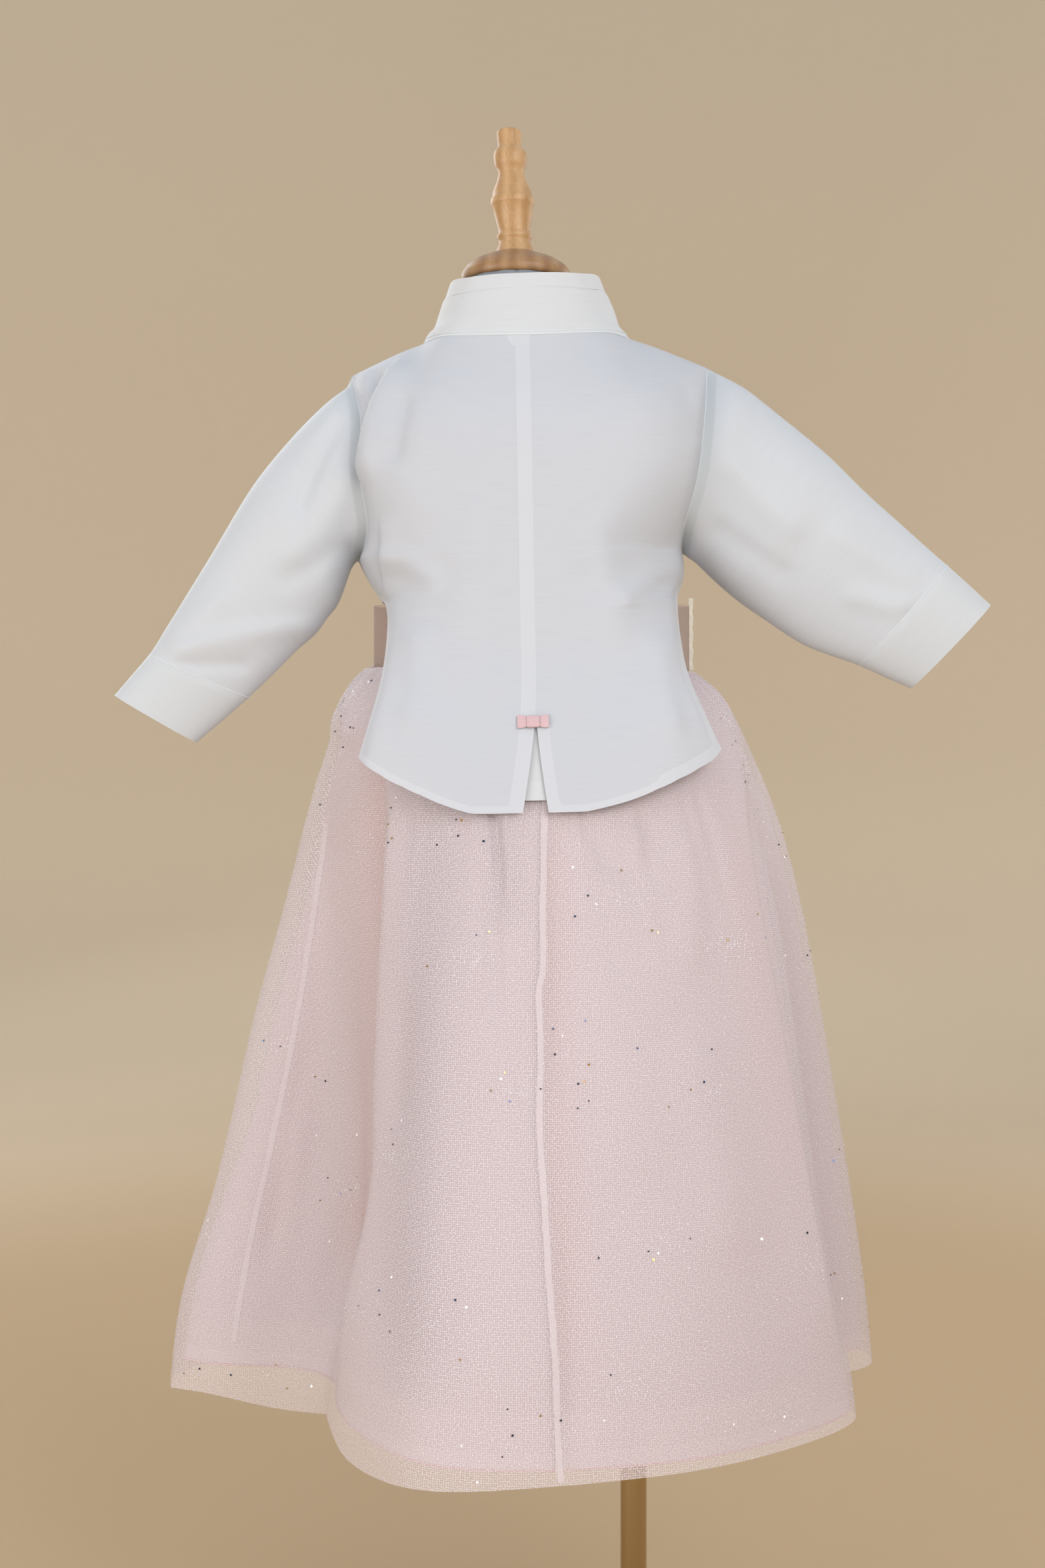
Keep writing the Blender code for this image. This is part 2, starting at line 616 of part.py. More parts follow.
def armhole_ring(side):
    """The ring that the armhole's edge makes, one gap outside it."""
    ring = []
    for i in range(SLEEVE_POINTS):
        turn = 2 * math.pi * i / SLEEVE_POINTS
        height = mix(UNDERARM, SHOULDER_TIP_HEIGHT, 0.5 - 0.5 * math.cos(turn))
        edge = (back_point if i <= ARMHOLE_ROWS else front_point)(side, 1, height)
        if i % ARMHOLE_ROWS == 0:
            edge.y = 0
        ring.append(edge + X_AXIS * side * GAP)
    return ring if side > 0 else ring[::-1]


def make_sleeve(name, side, rows, thickness, finish, from_armhole):
    rings = [sleeve_ring(side, row) for row in rows]
    axes = []
    for row in rows:
        up = Vector((side * (row.top_x - row.low_x), 0, row.top_z - row.low_z))
        axes.append(up.cross(Y_AXIS).normalized())
    if from_armhole:
        rings[0] = armhole_ring(side)
        axes[0] = X_AXIS
    inner = inset(rings, thickness, loop=True, square=lambda r, c: axes[r])
    return wall(name, rings, inner, finish, loop=True, place=worn)


def cuff_rows(seam_row, rows):
    """The cuff starts one gap past the sleeve's end."""
    start = rows[0]
    run = Vector((rows[1].top_x - start.top_x, rows[1].top_z - start.top_z)).normalized()
    shift = run * CUFF_START
    first = start._replace(top_x=seam_row.top_x + shift.x, top_z=seam_row.top_z + shift.y,
                           low_x=seam_row.low_x + shift.x, low_z=seam_row.low_z + shift.y)
    middle = Sleeve(*[(a + b) / 2 for a, b in zip(first, rows[1])])
    return [first, middle, rows[1]]


# ------------------------------------------------------------------ skirt
def closed_curve(points, count):
    """Evenly spaced points on a smooth closed curve through the given ones."""
    fine = []
    total = len(points)
    steps = 24
    for i in range(total):
        a, b, c, d = (points[(i + k - 1) % total] for k in range(4))
        for j in range(steps):
            t = j / steps
            fine.append([0.5 * (2 * q + (r - p) * t + (2 * p - 5 * q + 4 * r - s) * t * t
                                + (3 * q - p - 3 * r + s) * t ** 3)
                         for p, q, r, s in zip(a, b, c, d)])
    lengths = [0.0]
    for i in range(len(fine)):
        nxt = fine[(i + 1) % len(fine)]
        lengths.append(lengths[-1] + math.hypot(nxt[0] - fine[i][0], nxt[1] - fine[i][1]))
    even = []
    for k in range(count):
        target = lengths[-1] * k / count
        i = min(bisect_right(lengths, target) - 1, len(fine) - 1)
        share = (target - lengths[i]) / (lengths[i + 1] - lengths[i])
        nxt = fine[(i + 1) % len(fine)]
        even.append([mix(p, q, share) for p, q in zip(fine[i], nxt)])
    return even


reach_at = {side: reader(REACHES, "height", side) for side in ("left", "right", "back", "front")}


def waist_shape(turn, roundness):
    """A point of a waist ring of unit half width and depth, turned clockwise from the back."""
    behind = math.copysign(abs(math.cos(turn)) ** roundness, math.cos(turn))
    return math.sin(turn), behind


def skirt_point(fold, share, height, column):
    """The net's outer surface at one fold's place, a share of the way down."""
    across, behind = fold[0], fold[1]
    turn = math.atan2(across, behind)
    roundness = mix(SKIRT_ROUND, 1.0, ease(share / WAIST_FADE))
    at_waist = waist_shape(turn, roundness)
    folded = ease(share / FOLD_END) ** FOLD_GROWTH
    u = mix(at_waist[0], across, folded)
    v = mix(at_waist[1], behind, folded)
    ripple = GATHER_DEPTH * max(0, 1 - share / GATHER_FADE) * (1 if column % 2 else -1)
    x = u * reach_at["left" if u > 0 else "right"](height)
    y = v * reach_at["back" if v > 0 else "front"](height)
    out = Vector((x, y, 0)).normalized() * ripple
    return Vector((x + SKIRT_X, y, height)) + out


def skirt_grid(rows, hem, drops, inward):
    """Rings of one layer: its hem height, how much its hem follows the net's drop, and
    how far inside the net it lies at the waist and lower down."""
    folds = closed_curve([row[1:] for row in FOLDS], SKIRT_POINTS)
    grid = []
    for share in rows:
        ring = []
        for column, fold in enumerate(folds):
            low = hem - drops * fold[2]
            height = mix(WAIST, low, share)
            down = (WAIST - height) / (WAIST - ORGANZA_HEM)
            ring.append(skirt_point(fold, down, height, column))
        grid.append(ring)
    if not inward:
        return grid
    moved = []
    for share, ring in zip(rows, grid):
        line = []
        for column, (point, fold) in enumerate(zip(ring, folds)):
            across = ring[(column + 1) % SKIRT_POINTS] - ring[column - 1]
            normal = across.cross(-Z_AXIS).normalized()
            line.append(point - normal * inward(share, fold))
        moved.append(line)
    return moved


def organza_inside(share, fold):
    return mix(SKIRT_CLOTH + 2 * GAP, fold[3], ease(share / WAIST_FADE))


def lining_inside(share, fold):
    below = mix(SKIRT_CLOTH + 2 * GAP, LINING_INSIDE, ease(share / 0.3))
    return organza_inside(share, fold) + below


def make_skirt_layer(name, rows, hem, drops, inward, finish):
    grid = skirt_grid(rows, hem, drops, inward)
    inner = inset(grid, SKIRT_CLOTH, loop=True, square=lambda r, c: Z_AXIS)
    return wall(name, grid, inner, finish, loop=True)


def panel_of(grid, columns):
    """A stretch of a closed grid, each end pulled in by half a seam's gap."""
    panel = [[row[c % SKIRT_POINTS].copy() for c in columns] for row in grid]
    for row in panel:
        for end, beside in ((0, 1), (-1, -2)):
            row[end] += (row[beside] - row[end]).normalized() * GAP / 2
    return panel


def make_lining(rows, hem, finish):
    """Two panels of lining, which meet at the middle of the back and of the front."""
    grid = skirt_grid(rows, hem, 0.0, lining_inside)
    inner = inset(grid, SKIRT_CLOTH, loop=True, square=lambda r, c: Z_AXIS)
    middles = [min((c for c in range(SKIRT_POINTS) if grid[0][c].y * side > 0),
                   key=lambda c: abs(grid[0][c].x - SKIRT_X)) for side in (+1, -1)]
    back = middles[0]
    front = back + (middles[1] - back) % SKIRT_POINTS
    for word, first, last in (("left", back, front), ("right", front, back + SKIRT_POINTS)):
        columns = range(first, last + 1)
        outer_panel, inner_panel = panel_of(grid, columns), panel_of(inner, columns)
        wall("skirt_lining_" + word, outer_panel, inner_panel, finish)


# ------------------------------------------------------------------ the form's surface
form_half = reader(TORSO, "height", "half")
form_depth = reader(TORSO, "height", "depth")
WIDEST = max(TORSO, key=lambda row: row.half).height


def form_x(height):
    return FORM_NECK_X - (FORM_NECK_TOP - height) * FORM_LEAN


def tilted(point):
    """Between its level neck and foot, the form stands with its left side lower."""
    if not TORSO[2].height < point.z < TORSO[-2].height:
        return point
    return point - Z_AXIS * FORM_TILT * (point.x - form_x(point.z))


def form_surface(x, height):
    """A point on the back of the form, and the way out of the form there."""
    across = (x - form_x(height)) / form_half(height)
    y = form_depth(height) * math.sqrt(max(1 - across * across, 0))
    step = 0.0005

    def level(px, py, pz):
        return ((px - form_x(pz)) / form_half(pz)) ** 2 + (py / form_depth(pz)) ** 2

    out = Vector((level(x + step, y, height) - level(x - step, y, height),
                  level(x, y + step, height) - level(x, y - step, height),
                  level(x, y, height + step) - level(x, y, height - step)))
    return Vector((x, y, height)), out.normalized()


def shoulder_ridge(reach):
    """Height of the form's shoulder line at this distance from its middle."""
    low, high = WIDEST, FORM_NECK_TOP
    for _ in range(40):
        height = (low + high) / 2
        low, high = (height, high) if form_half(height) > reach else (low, height)
    return low


# ------------------------------------------------------------------ bodice and straps
def bodice_top(turn):
    """Height of the bodice's upper edge: low at the back, higher at the front."""
    behind = math.cos(turn)
    end = BODICE_BACK_TOP if behind > 0 else BODICE_FRONT_TOP
    return mix(BODICE_SIDE_TOP, end, ease((abs(behind) - 0.5) / 0.5))


def make_bodice(finish):
    count = 48
    rows = []
    for share in (1.0, 0.5, 0.0):
        ring = []
        for i in range(count):
            turn = 2 * math.pi * i / count
            across, behind = waist_shape(turn, BODICE_ROUND)
            height = mix(WAIST + GAP, bodice_top(turn), share)
            ring.append(Vector((SKIRT_X + BODICE_HALF * across, BODICE_DEPTH * behind, height)))
        rows.append(ring)
    inner = inset(rows, BODICE_CLOTH, loop=True, square=lambda r, c: Z_AXIS)
    wall("bodice", rows, inner, finish, loop=True)


def bodice_edge(x, front):
    """The point one gap above the bodice's upper edge at this x."""
    turn = math.asin((x - SKIRT_X) / BODICE_HALF)
    behind = math.cos(turn) ** BODICE_ROUND
    height = bodice_top(math.pi - turn if front else turn) + GAP
    return Vector((x, BODICE_DEPTH * behind, height))


def make_strap(name, side, finish):
    """A flat band from the bodice's back edge over the form's shoulder to its front edge."""
    outer, inner = [], []
    for front, rows in ((False, STRAP[::-1]), (True, STRAP[1:])):
        for row in rows:
            line, under = [], []
            for a in (-1, 0, 1):
                reach = row.middle + a * STRAP_WIDTH / 2
                top = shoulder_ridge(reach)
                x = form_x(top) + side * reach
                if row.share == 1:
                    x = form_x(BODICE_BACK_TOP) + side * reach
                low = bodice_edge(form_x(BODICE_BACK_TOP) + side * reach, front)
                if row.share == 1:
                    point, out, near = low, Y_AXIS, -BODICE_CLOTH
                else:
                    point, out = form_surface(x, mix(top, low.z, row.share))
                    near = row.clear
                far = point + out * (near + BODICE_CLOTH)
                near = point + out * near
                for p, where in ((far, line), (near, under)):
                    p = p if row.share == 1 else tilted(p)
                    where.append(Vector((p.x, -p.y, p.z)) if front else p)
            outer.append(line)
            inner.append(under)
    wall(name, outer, inner, finish)


# ------------------------------------------------------------------ small trim
def share_at(side, x, height):
    return x / edge_reach[side](height)


def over_back(x, height, out):
    """A point over the backs, this far from their outer face."""
    side = 1 if x >= 0 else -1
    near = back_point(side, share_at(side, abs(x), height), height)
    return Vector((x, near.y + out, height))


def over_front(x, height, out):
    """A point over the upper front, this far from its outer face."""
    side = 1 if x >= 0 else -1
    share = x / edge_reach[side](height)
    near = front_point(+1, share, height)
    return Vector((x, near.y - out, height))


def make_underlap(finish):
    heights = [mix(UNDERLAP_TOP, UNDERLAP_LOW, i / 5) for i in range(6)]
    across = [-1, -0.5, 0, 0.5, 1]
    below = -(JACKET_CLOTH + UNDERLAP_BEHIND)
    grid = [[over_back(a * UNDERLAP_HALF, z, below) for a in across] for z in heights]
    wall("vent_underlap", grid, inset(grid, SKIRT_CLOTH), finish, place=worn)


def make_back_bow(finish):
    """Two flat wings pinched under a small knot, just above the vent."""
    grid = []
    for f in (1, 0, -1):
        row = []
        for a in (-1, -0.6, -0.28, 0, 0.28, 0.6, 1):
            half = mix(BOW_WAIST, BOW_HEIGHT, ease((abs(a) - 0.2) / 0.5)) / 2
            puff = BOW_OUT + 0.0009 * math.sin(math.pi * abs(a)) * (1 - abs(f))
            row.append(over_back(a * BOW_WIDTH / 2, BOW_Z + f * half, puff))
        grid.append(row)
    wall("vent_bow", grid, inset(grid, RIBBON_CLOTH), finish, place=worn)
    knot = []
    for f in (1, 0.4, -0.4, -1):
        out = BOW_OUT * (2.1 if abs(f) < 1 else 1.6)
        half = BOW_WAIST / 2 + 0.0009
        knot.append([over_back(a * BOW_KNOT / 2, BOW_Z + f * half, out) for a in (-1, 0, 1)])
    wall("vent_bow_knot", knot, inset(knot, 0.0007), finish, place=worn)


def make_ribbons(finish):
    """The jacket's front tie: a knot with one loop and two hanging tails."""
    for tail in TAILS:
        top = KNOT_Z - KNOT_HEIGHT / 2 - GAP
        rows = []
        steps = 8
        for i in range(steps + 1):
            z = top - tail.length * i / steps
            x = mix(tail.top_x, tail.low_x, math.sqrt(i / steps))
            wide = TAIL_WIDTH / 2 * mix(0.62, 1, ease(i / 2))
            rows.append([over_front(x + a * wide, z, TAIL_OUT) for a in (1, 0, -1)])
        wall(tail.name, rows, inset(rows, RIBBON_CLOTH), finish, place=worn)
    loop_from = KNOT_X + KNOT_WIDTH / 2 + GAP
    near, far = (KNOT_SEAT + KNOT_EDGE) / 2, 0.0026 + LOOP_OPEN / 2
    rings = []
    count = 16
    for f in (1, -1):
        ring = []
        for i in range(count):
            turn = 2 * math.pi * i / count
            along = 0.5 - 0.5 * math.cos(turn)
            height = LOOP_HEIGHT / 2 * mix(0.55, 1, ease(along * 2.2))
            lean = -0.16 * along * LOOP_LENGTH
            x = loop_from + along * LOOP_LENGTH
            open_by = LOOP_OPEN / 2 * math.sin(turn)
            base = over_front(x, KNOT_Z + f * height + lean, mix(near, far, ease(along * 4)))
            ring.append(base + Y_AXIS * open_by)
        rings.append(ring)
    loop_inner = inset(rings, RIBBON_CLOTH, loop=True, square=lambda r, c: Z_AXIS)
    wall("ribbon_loop", rings, loop_inner, finish, loop=True, place=worn)
    knot = []
    for f in (1, 0.5, -0.5, -1):
        row = []
        for a in (1, 0.5, -0.5, -1):
            out = KNOT_OUT if max(abs(f), abs(a)) < 1 else KNOT_EDGE
            row.append(over_front(KNOT_X + a * KNOT_WIDTH / 2, KNOT_Z + f * KNOT_HEIGHT / 2, out))
        knot.append(row)
    back = [[over_front(p.x, p.z, KNOT_SEAT) for p in row] for row in knot]
    wall("ribbon_knot", knot, back, finish, place=worn)


# ------------------------------------------------------------------ dress form and stand
def make_torso(finish):
    rings = []
    for row in TORSO:
        ring = []
        for i in range(TORSO_POINTS):
            turn = 2 * math.pi * i / TORSO_POINTS
            x = form_x(row.height) + row.half * math.cos(turn)
            ring.append(tilted(Vector((x, row.depth * math.sin(turn), row.height))))
        rings.append(ring)
    stack("form_torso", rings, finish)


def make_turned(name, rows, finish):
    rings = [circle(form_x(row.height), 0, row.height, row.radius, TURNED_POINTS) for row in rows]
    stack(name, rings, finish)


def make_stand(brass, steel):
    bore = POLE_RADIUS + GAP
    floor_of_bore = BASE_EDGE / 2
    pole_low, pole_high = floor_of_bore + GAP, FORM_BOTTOM - GAP
    rings = [circle(0, 0, z, POLE_RADIUS, TURNED_POINTS) for z in (pole_low, pole_high)]
    stack("pole", rings, brass)
    outer = [circle(0, 0, z, bore + SOCKET_WALL, TURNED_POINTS)
             for z in (FORM_BOTTOM - GAP, FORM_BOTTOM - SOCKET_LENGTH)]
    inner = [circle(0, 0, ring[0].z, bore, TURNED_POINTS) for ring in outer]
    wall("pole_socket", outer, inner, brass, loop=True)
    profile = [
        Turned(0.0, BASE_RADIUS - 0.001), Turned(0.001, BASE_RADIUS),
        Turned(BASE_EDGE - 0.001, BASE_RADIUS), Turned(BASE_EDGE, BASE_RADIUS - 0.002),
        Turned(BASE_EDGE + 0.0015, HUB_RADIUS + 0.008), Turned(BASE_EDGE + 0.004, HUB_RADIUS),
        Turned(HUB_TOP - 0.002, HUB_RADIUS), Turned(HUB_TOP, HUB_RADIUS - 0.002),
        Turned(HUB_TOP, bore), Turned(floor_of_bore, bore),
    ]
    stack("base", [circle(0, 0, row.height, row.radius, 40) for row in profile], steel)


# ------------------------------------------------------------------ the whole object
def main():
    for old in list(bpy.data.objects):
        bpy.data.objects.remove(old, do_unlink=True)

    white = material("white_organza", (0.86, 0.88, 0.89), 0.55)
    collar_white = material("collar_organza", (0.92, 0.92, 0.89), 0.55)
    ribbon_pink = material("ribbon_pink", (0.90, 0.46, 0.50), 0.45)
    bodice_pink = material("bodice_pink", (0.80, 0.58, 0.56), 0.60)
    lining_pink = material("lining_pink", (0.80, 0.58, 0.55), 0.65)
    organza_pink = material("organza_pink", (0.84, 0.62, 0.60), 0.50)
    net_pink = material("glitter_net", (0.86, 0.74, 0.74), 0.45)
    form_cloth = material("form_cloth", (0.62, 0.64, 0.66), 0.85)
    wood = material("turned_wood", (0.58, 0.35, 0.17), 0.42)
    brass = material("brushed_brass", (0.62, 0.42, 0.17), 0.30, 1.0)
    steel = material("base_lacquer", (0.58, 0.40, 0.17), 0.35, 1.0)

    for word, side in (("left", +1), ("right", -1)):
        make_back("back_" + word, side, white)
        make_front("front_" + word, side, white)
        make_strap("strap_" + word, side, bodice_pink)
    make_sleeve("sleeve_left", +1, LEFT_SLEEVE, JACKET_CLOTH, white, True)
    make_sleeve("sleeve_right", -1, RIGHT_SLEEVE, JACKET_CLOTH, white, True)
    make_sleeve("cuff_left", +1, cuff_rows(LEFT_SLEEVE[-1], LEFT_CUFF), CUFF_CLOTH, white, False)
    make_sleeve("cuff_right", -1, cuff_rows(RIGHT_SLEEVE[-1], RIGHT_CUFF), CUFF_CLOTH, white, False)
    make_collar(collar_white, collar_white)
    make_underlap(collar_white)
    make_back_bow(ribbon_pink)
    make_ribbons(ribbon_pink)
    make_bodice(bodice_pink)
    make_skirt_layer("skirt_tulle", TULLE_ROWS, ORGANZA_HEM, 1.0, None, net_pink)
    make_skirt_layer("skirt_organza", TULLE_ROWS, ORGANZA_HEM, 0.0, organza_inside, organza_pink)
    make_lining(LINING_ROWS, LINING_HEM, lining_pink)
    make_torso(form_cloth)
    make_turned("neck_cap", CAP, wood)
    make_turned("finial", FINIAL, wood)
    make_stand(brass, steel)


main()
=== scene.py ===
# %% [markdown]
# # A child's hanbok on a dress form
#
# A hanbok for a small child: a sheer white organza jacket with a standing collar, worn over a pink
# skirt of three layers, an opaque lining, a crisp organza and a glitter net. It hangs on a limbless
# form with a turned wood cap and a brass pole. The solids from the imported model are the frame: each
# cloth piece below is drawn from its own solid, so it stays where the pattern put it.

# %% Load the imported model
import json
import math
import random
from collections import namedtuple

import bmesh
import bpy
import numpy as np
from mathutils import Matrix, Vector
from mathutils.bvhtree import BVHTree
from mathutils.kdtree import KDTree

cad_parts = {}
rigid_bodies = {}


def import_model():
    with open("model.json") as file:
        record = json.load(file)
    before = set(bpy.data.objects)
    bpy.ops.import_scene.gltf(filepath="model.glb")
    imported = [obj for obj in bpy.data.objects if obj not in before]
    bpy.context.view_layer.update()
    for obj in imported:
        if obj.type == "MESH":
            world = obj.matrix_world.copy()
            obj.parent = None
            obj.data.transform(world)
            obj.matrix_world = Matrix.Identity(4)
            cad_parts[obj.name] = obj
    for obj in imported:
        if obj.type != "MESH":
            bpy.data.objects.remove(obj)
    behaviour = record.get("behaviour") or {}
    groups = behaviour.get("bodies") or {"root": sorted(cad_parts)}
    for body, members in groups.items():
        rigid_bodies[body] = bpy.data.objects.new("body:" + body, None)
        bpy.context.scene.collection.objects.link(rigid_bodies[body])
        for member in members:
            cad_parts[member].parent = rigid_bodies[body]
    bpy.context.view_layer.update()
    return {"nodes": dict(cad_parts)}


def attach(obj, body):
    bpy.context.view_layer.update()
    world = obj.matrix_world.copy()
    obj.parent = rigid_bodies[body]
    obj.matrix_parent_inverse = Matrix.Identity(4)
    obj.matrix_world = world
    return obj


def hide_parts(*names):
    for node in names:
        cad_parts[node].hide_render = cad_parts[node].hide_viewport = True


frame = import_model()
solids = frame["nodes"]

# %% [markdown]
# ## Sizes
#
# Everything is in metres, in the model's own frame: +Z up, +X to the wearer's left and +Y to the
# wearer's back, which is the side that the camera sees. The walls are those of the solids. The
# cloth that is shown is thinner, as organza and net are.

# %% Sizes that several pieces share
JACKET_WALL = 0.0012
COLLAR_WALL = 0.0018
CUFF_WALL = 0.0016
SKIRT_WALL = 0.0010
BODICE_WALL = 0.0012
RIBBON_WALL = 0.0012

ORGANZA = 0.0004
NET = 0.0003
SATIN = 0.0007
SEAM_BAND = 0.0105          # width of a turned hem or facing
BODY_X = 0.083              # the middle of the body, and of the collar and the skirt
WELD = 0.00002
FAR = 9.0                   # further away than anything here


def body_middle(place):
    return Vector((BODY_X, 0, place.z))


def sleeve_middle(shoulder, wrist):
    """For any place on a sleeve, the nearest point of the line inside it."""
    start, run = Vector(shoulder), Vector(wrist) - Vector(shoulder)

    def middle(place):
        share = (place - start).dot(run) / run.length_squared
        return start + run * min(max(share, 0), 1)
    return middle


LEFT_ARM = ((0.195, 0, 0.945), (0.375, 0, 0.770))
RIGHT_ARM = ((-0.035, 0, 0.945), (-0.250, 0, 0.805))
left_arm = sleeve_middle(*LEFT_ARM)
right_arm = sleeve_middle(*RIGHT_ARM)
print("arms run", round((left_arm(Vector((1, 0, 0))) - left_arm(Vector((0, 0, 1)))).length, 3), "m")

# %% [markdown]
# ## From a solid's wall to a sheet of cloth
#
# A solid is a thin wall, so its outer side already has the cloth's form, in few faces. A copy of
# its mesh is merged, and the narrow faces of the rim are deleted, which leaves an outer and an
# inner side. The outer side faces away from the middle of the body. Its triangles are joined back
# into four-sided faces, because Catmull-Clark subdivision rounds those evenly.

# %% Take the outward side of a solid
def sheet_of(mesh):
    """A working copy of a mesh."""
    sheet = bmesh.new()
    sheet.from_mesh(mesh)
    return sheet


def mesh_of(sheet, name):
    """The working copy as a new mesh. The copy is freed."""
    mesh = bpy.data.meshes.new(name)
    sheet.to_mesh(mesh)
    sheet.free()
    return mesh


def islands(sheet):
    """The groups of faces that hang together."""
    left = set(sheet.faces)
    groups = []
    while left:
        waiting = [left.pop()]
        group = set(waiting)
        while waiting:
            for edge in waiting.pop().edges:
                for face in edge.link_faces:
                    if face in left:
                        left.discard(face)
                        group.add(face)
                        waiting.append(face)
        groups.append(group)
    return groups


def outwardness(faces, middle):
    total = 0.0
    for face in faces:
        centre = face.calc_center_median()
        total += face.calc_area() * face.normal.dot(centre - middle(centre))
    return total


def outward_side(node, wall, middle=body_middle):
    """The outer side of a solid's wall, as a sheet of four-sided faces."""
    sheet = sheet_of(solids[node].data)
    bmesh.ops.remove_doubles(sheet, verts=sheet.verts, dist=WELD)
    rim = [face for face in sheet.faces
           if min(edge.calc_length() for edge in face.edges) < 1.3 * wall]
    bmesh.ops.delete(sheet, geom=rim, context="FACES")
    groups = islands(sheet)
    outer = max(groups, key=lambda group: outwardness(group, middle))
    spare = [face for face in sheet.faces if face not in outer]
    bmesh.ops.delete(sheet, geom=spare, context="FACES")
    bmesh.ops.join_triangles(sheet, faces=sheet.faces, angle_face_threshold=math.pi,
                             angle_shape_threshold=math.pi)
    odd = sum(len(face.verts) == 3 for face in sheet.faces)
    print(node, "outer side:", len(sheet.faces), "faces,", odd, "of them triangles,",
          len(groups), "sides")
    return sheet


# %% Round it by subdivision
def new_object(name, mesh):
    made = bpy.data.objects.new(name, mesh)
    bpy.context.scene.collection.objects.link(made)
    return made


def applied(piece):
    """The mesh of a piece, or of a curve, as its modifiers show it. The piece is removed."""
    shown = piece.evaluated_get(bpy.context.evaluated_depsgraph_get())
    mesh = bpy.data.meshes.new_from_object(shown)
    bpy.data.batch_remove([piece, piece.data])
    return mesh


def read_points(mesh):
    values = np.empty(len(mesh.vertices) * 3, np.float32)
    mesh.vertices.foreach_get("co", values)
    return values.reshape(-1, 3).astype(float)


def write_points(mesh, points):
    mesh.vertices.foreach_set("co", points.astype(np.float32).ravel())
    mesh.update()


def keep_corners(sheet, sharper_than):
    """Marks the points where an open edge turns this sharply, so that they stay pointed."""
    sharp = sheet.verts.layers.float.new("crease_vert")
    for corner in sheet.verts:
        open_edges = [edge for edge in corner.link_edges if edge.is_boundary]
        if len(open_edges) == 2:
            a, b = (edge.other_vert(corner).co - corner.co for edge in open_edges)
            if a.angle(b) < math.radians(sharper_than):
                corner[sharp] = 1.0


def rounded(sheet, levels, sharper_than=140, fits=2):
    """The sheet's mesh after subdivision. Rounding draws a sheet in, so its cage is let out until
    the rounded sheet passes near the solid's own points."""
    keep_corners(sheet, sharper_than)
    cage = mesh_of(sheet, "cage")
    piece = new_object("cage", cage)
    smooth = piece.modifiers.new("Round", "SUBSURF")
    smooth.boundary_smooth = "PRESERVE_CORNERS"
    smooth.levels = smooth.render_levels = 2
    wanted = read_points(cage)
    for _ in range(fits):
        shown = piece.evaluated_get(bpy.context.evaluated_depsgraph_get())
        reached = read_points(shown.data)[:len(wanted)]
        write_points(cage, read_points(cage) + (wanted - reached) * 0.8)
    smooth.levels = smooth.render_levels = levels
    return applied(piece)


# %% [markdown]
# ## Folds
#
# Cloth that hangs still has a few soft creases where it is pulled, and each has its own length and
# depth. A fold here is a path on the cloth, as (x, z) places, with a height and two widths: one side
# falls away quickly and the other slowly, as a real fold leans. Every point of the mesh moves along
# its own normal by the sum of the folds near it.

# %% Fold tools
Fold = namedtuple("Fold", "path height left right")


def smooth_step(share):
    share = np.clip(share, 0, 1)
    return share * share * (3 - 2 * share)


def read_normals(mesh):
    values = np.empty(len(mesh.vertices) * 3, np.float32)
    mesh.vertex_normals.foreach_get("vector", values)
    return values.reshape(-1, 3).astype(float)


def fold_lift(across, up, folds):
    """How far the folds lift the cloth at each place. Left and right are as seen from behind."""
    lift = np.zeros(len(across))
    for fold in folds:
        legs = list(zip(fold.path, fold.path[1:]))
        lengths = [math.dist(a, b) for a, b in legs]
        near = np.full(len(across), FAR)
        along = np.zeros(len(across))
        side = np.zeros(len(across))
        done = 0.0
        for (a, b), length in zip(legs, lengths):
            run = ((b[0] - a[0]) / length, (b[1] - a[1]) / length)
            here = (across - a[0]) * run[0] + (up - a[1]) * run[1]
            here = np.clip(here, 0, length)
            dx = across - a[0] - here * run[0]
            dz = up - a[1] - here * run[1]
            distance = np.hypot(dx, dz)
            nearer = distance < near
            near = np.where(nearer, distance, near)
            along = np.where(nearer, (done + here) / sum(lengths), along)
            side = np.where(nearer, dx, side)
            done += length
        width = np.where(side > 0, fold.left, fold.right)
        ends = smooth_step(along * 5) * smooth_step((1 - along) * 5)
        lift += fold.height * ends * np.exp(-(near / width) ** 2)
    return lift


def lift_cloth(mesh, behind=(), front=(), held=None):
    """Raises the folds of the back where the cloth faces back, and those of the front elsewhere.
    The name of a distance attribute holds them down near those edges."""
    points, normals = read_points(mesh), read_normals(mesh)
    facing_back = smooth_step(points[:, 1] / 0.016 + 0.5)
    lift = facing_back * fold_lift(points[:, 0], points[:, 2], behind)
    lift += (1 - facing_back) * fold_lift(points[:, 0], points[:, 2], front)
    if held:
        away = np.empty(len(points), np.float32)
        mesh.attributes[held].data.foreach_get("value", away)
        lift *= smooth_step(away / 0.007)
    write_points(mesh, points + normals * lift[:, None])
    return float(np.abs(lift).max()) if len(lift) else 0.0


# %% [markdown]
# ## Marks that follow the cloth
#
# Hems, facings and seam allowances are two or three layers of a sheer cloth, so they show as whiter
# bands of an even width. Each point notes its distance from the chosen edges in an attribute, and the
# material turns that into a band with a clean border. The flat layout of the cloth is a UV map in
# metres, so a thread has the same size on every piece.

# %% Seams, edge distance, flat layout and edge lines
def open_edge_points(mesh, step=0.0004):
    """Points close together along the whole open edge of a sheet."""
    return edge_points(mesh, lambda place: True, step)


def point_tree(points):
    tree = KDTree(len(points))
    for i, point in enumerate(points):
        tree.insert(point, i)
    tree.balance()
    return tree


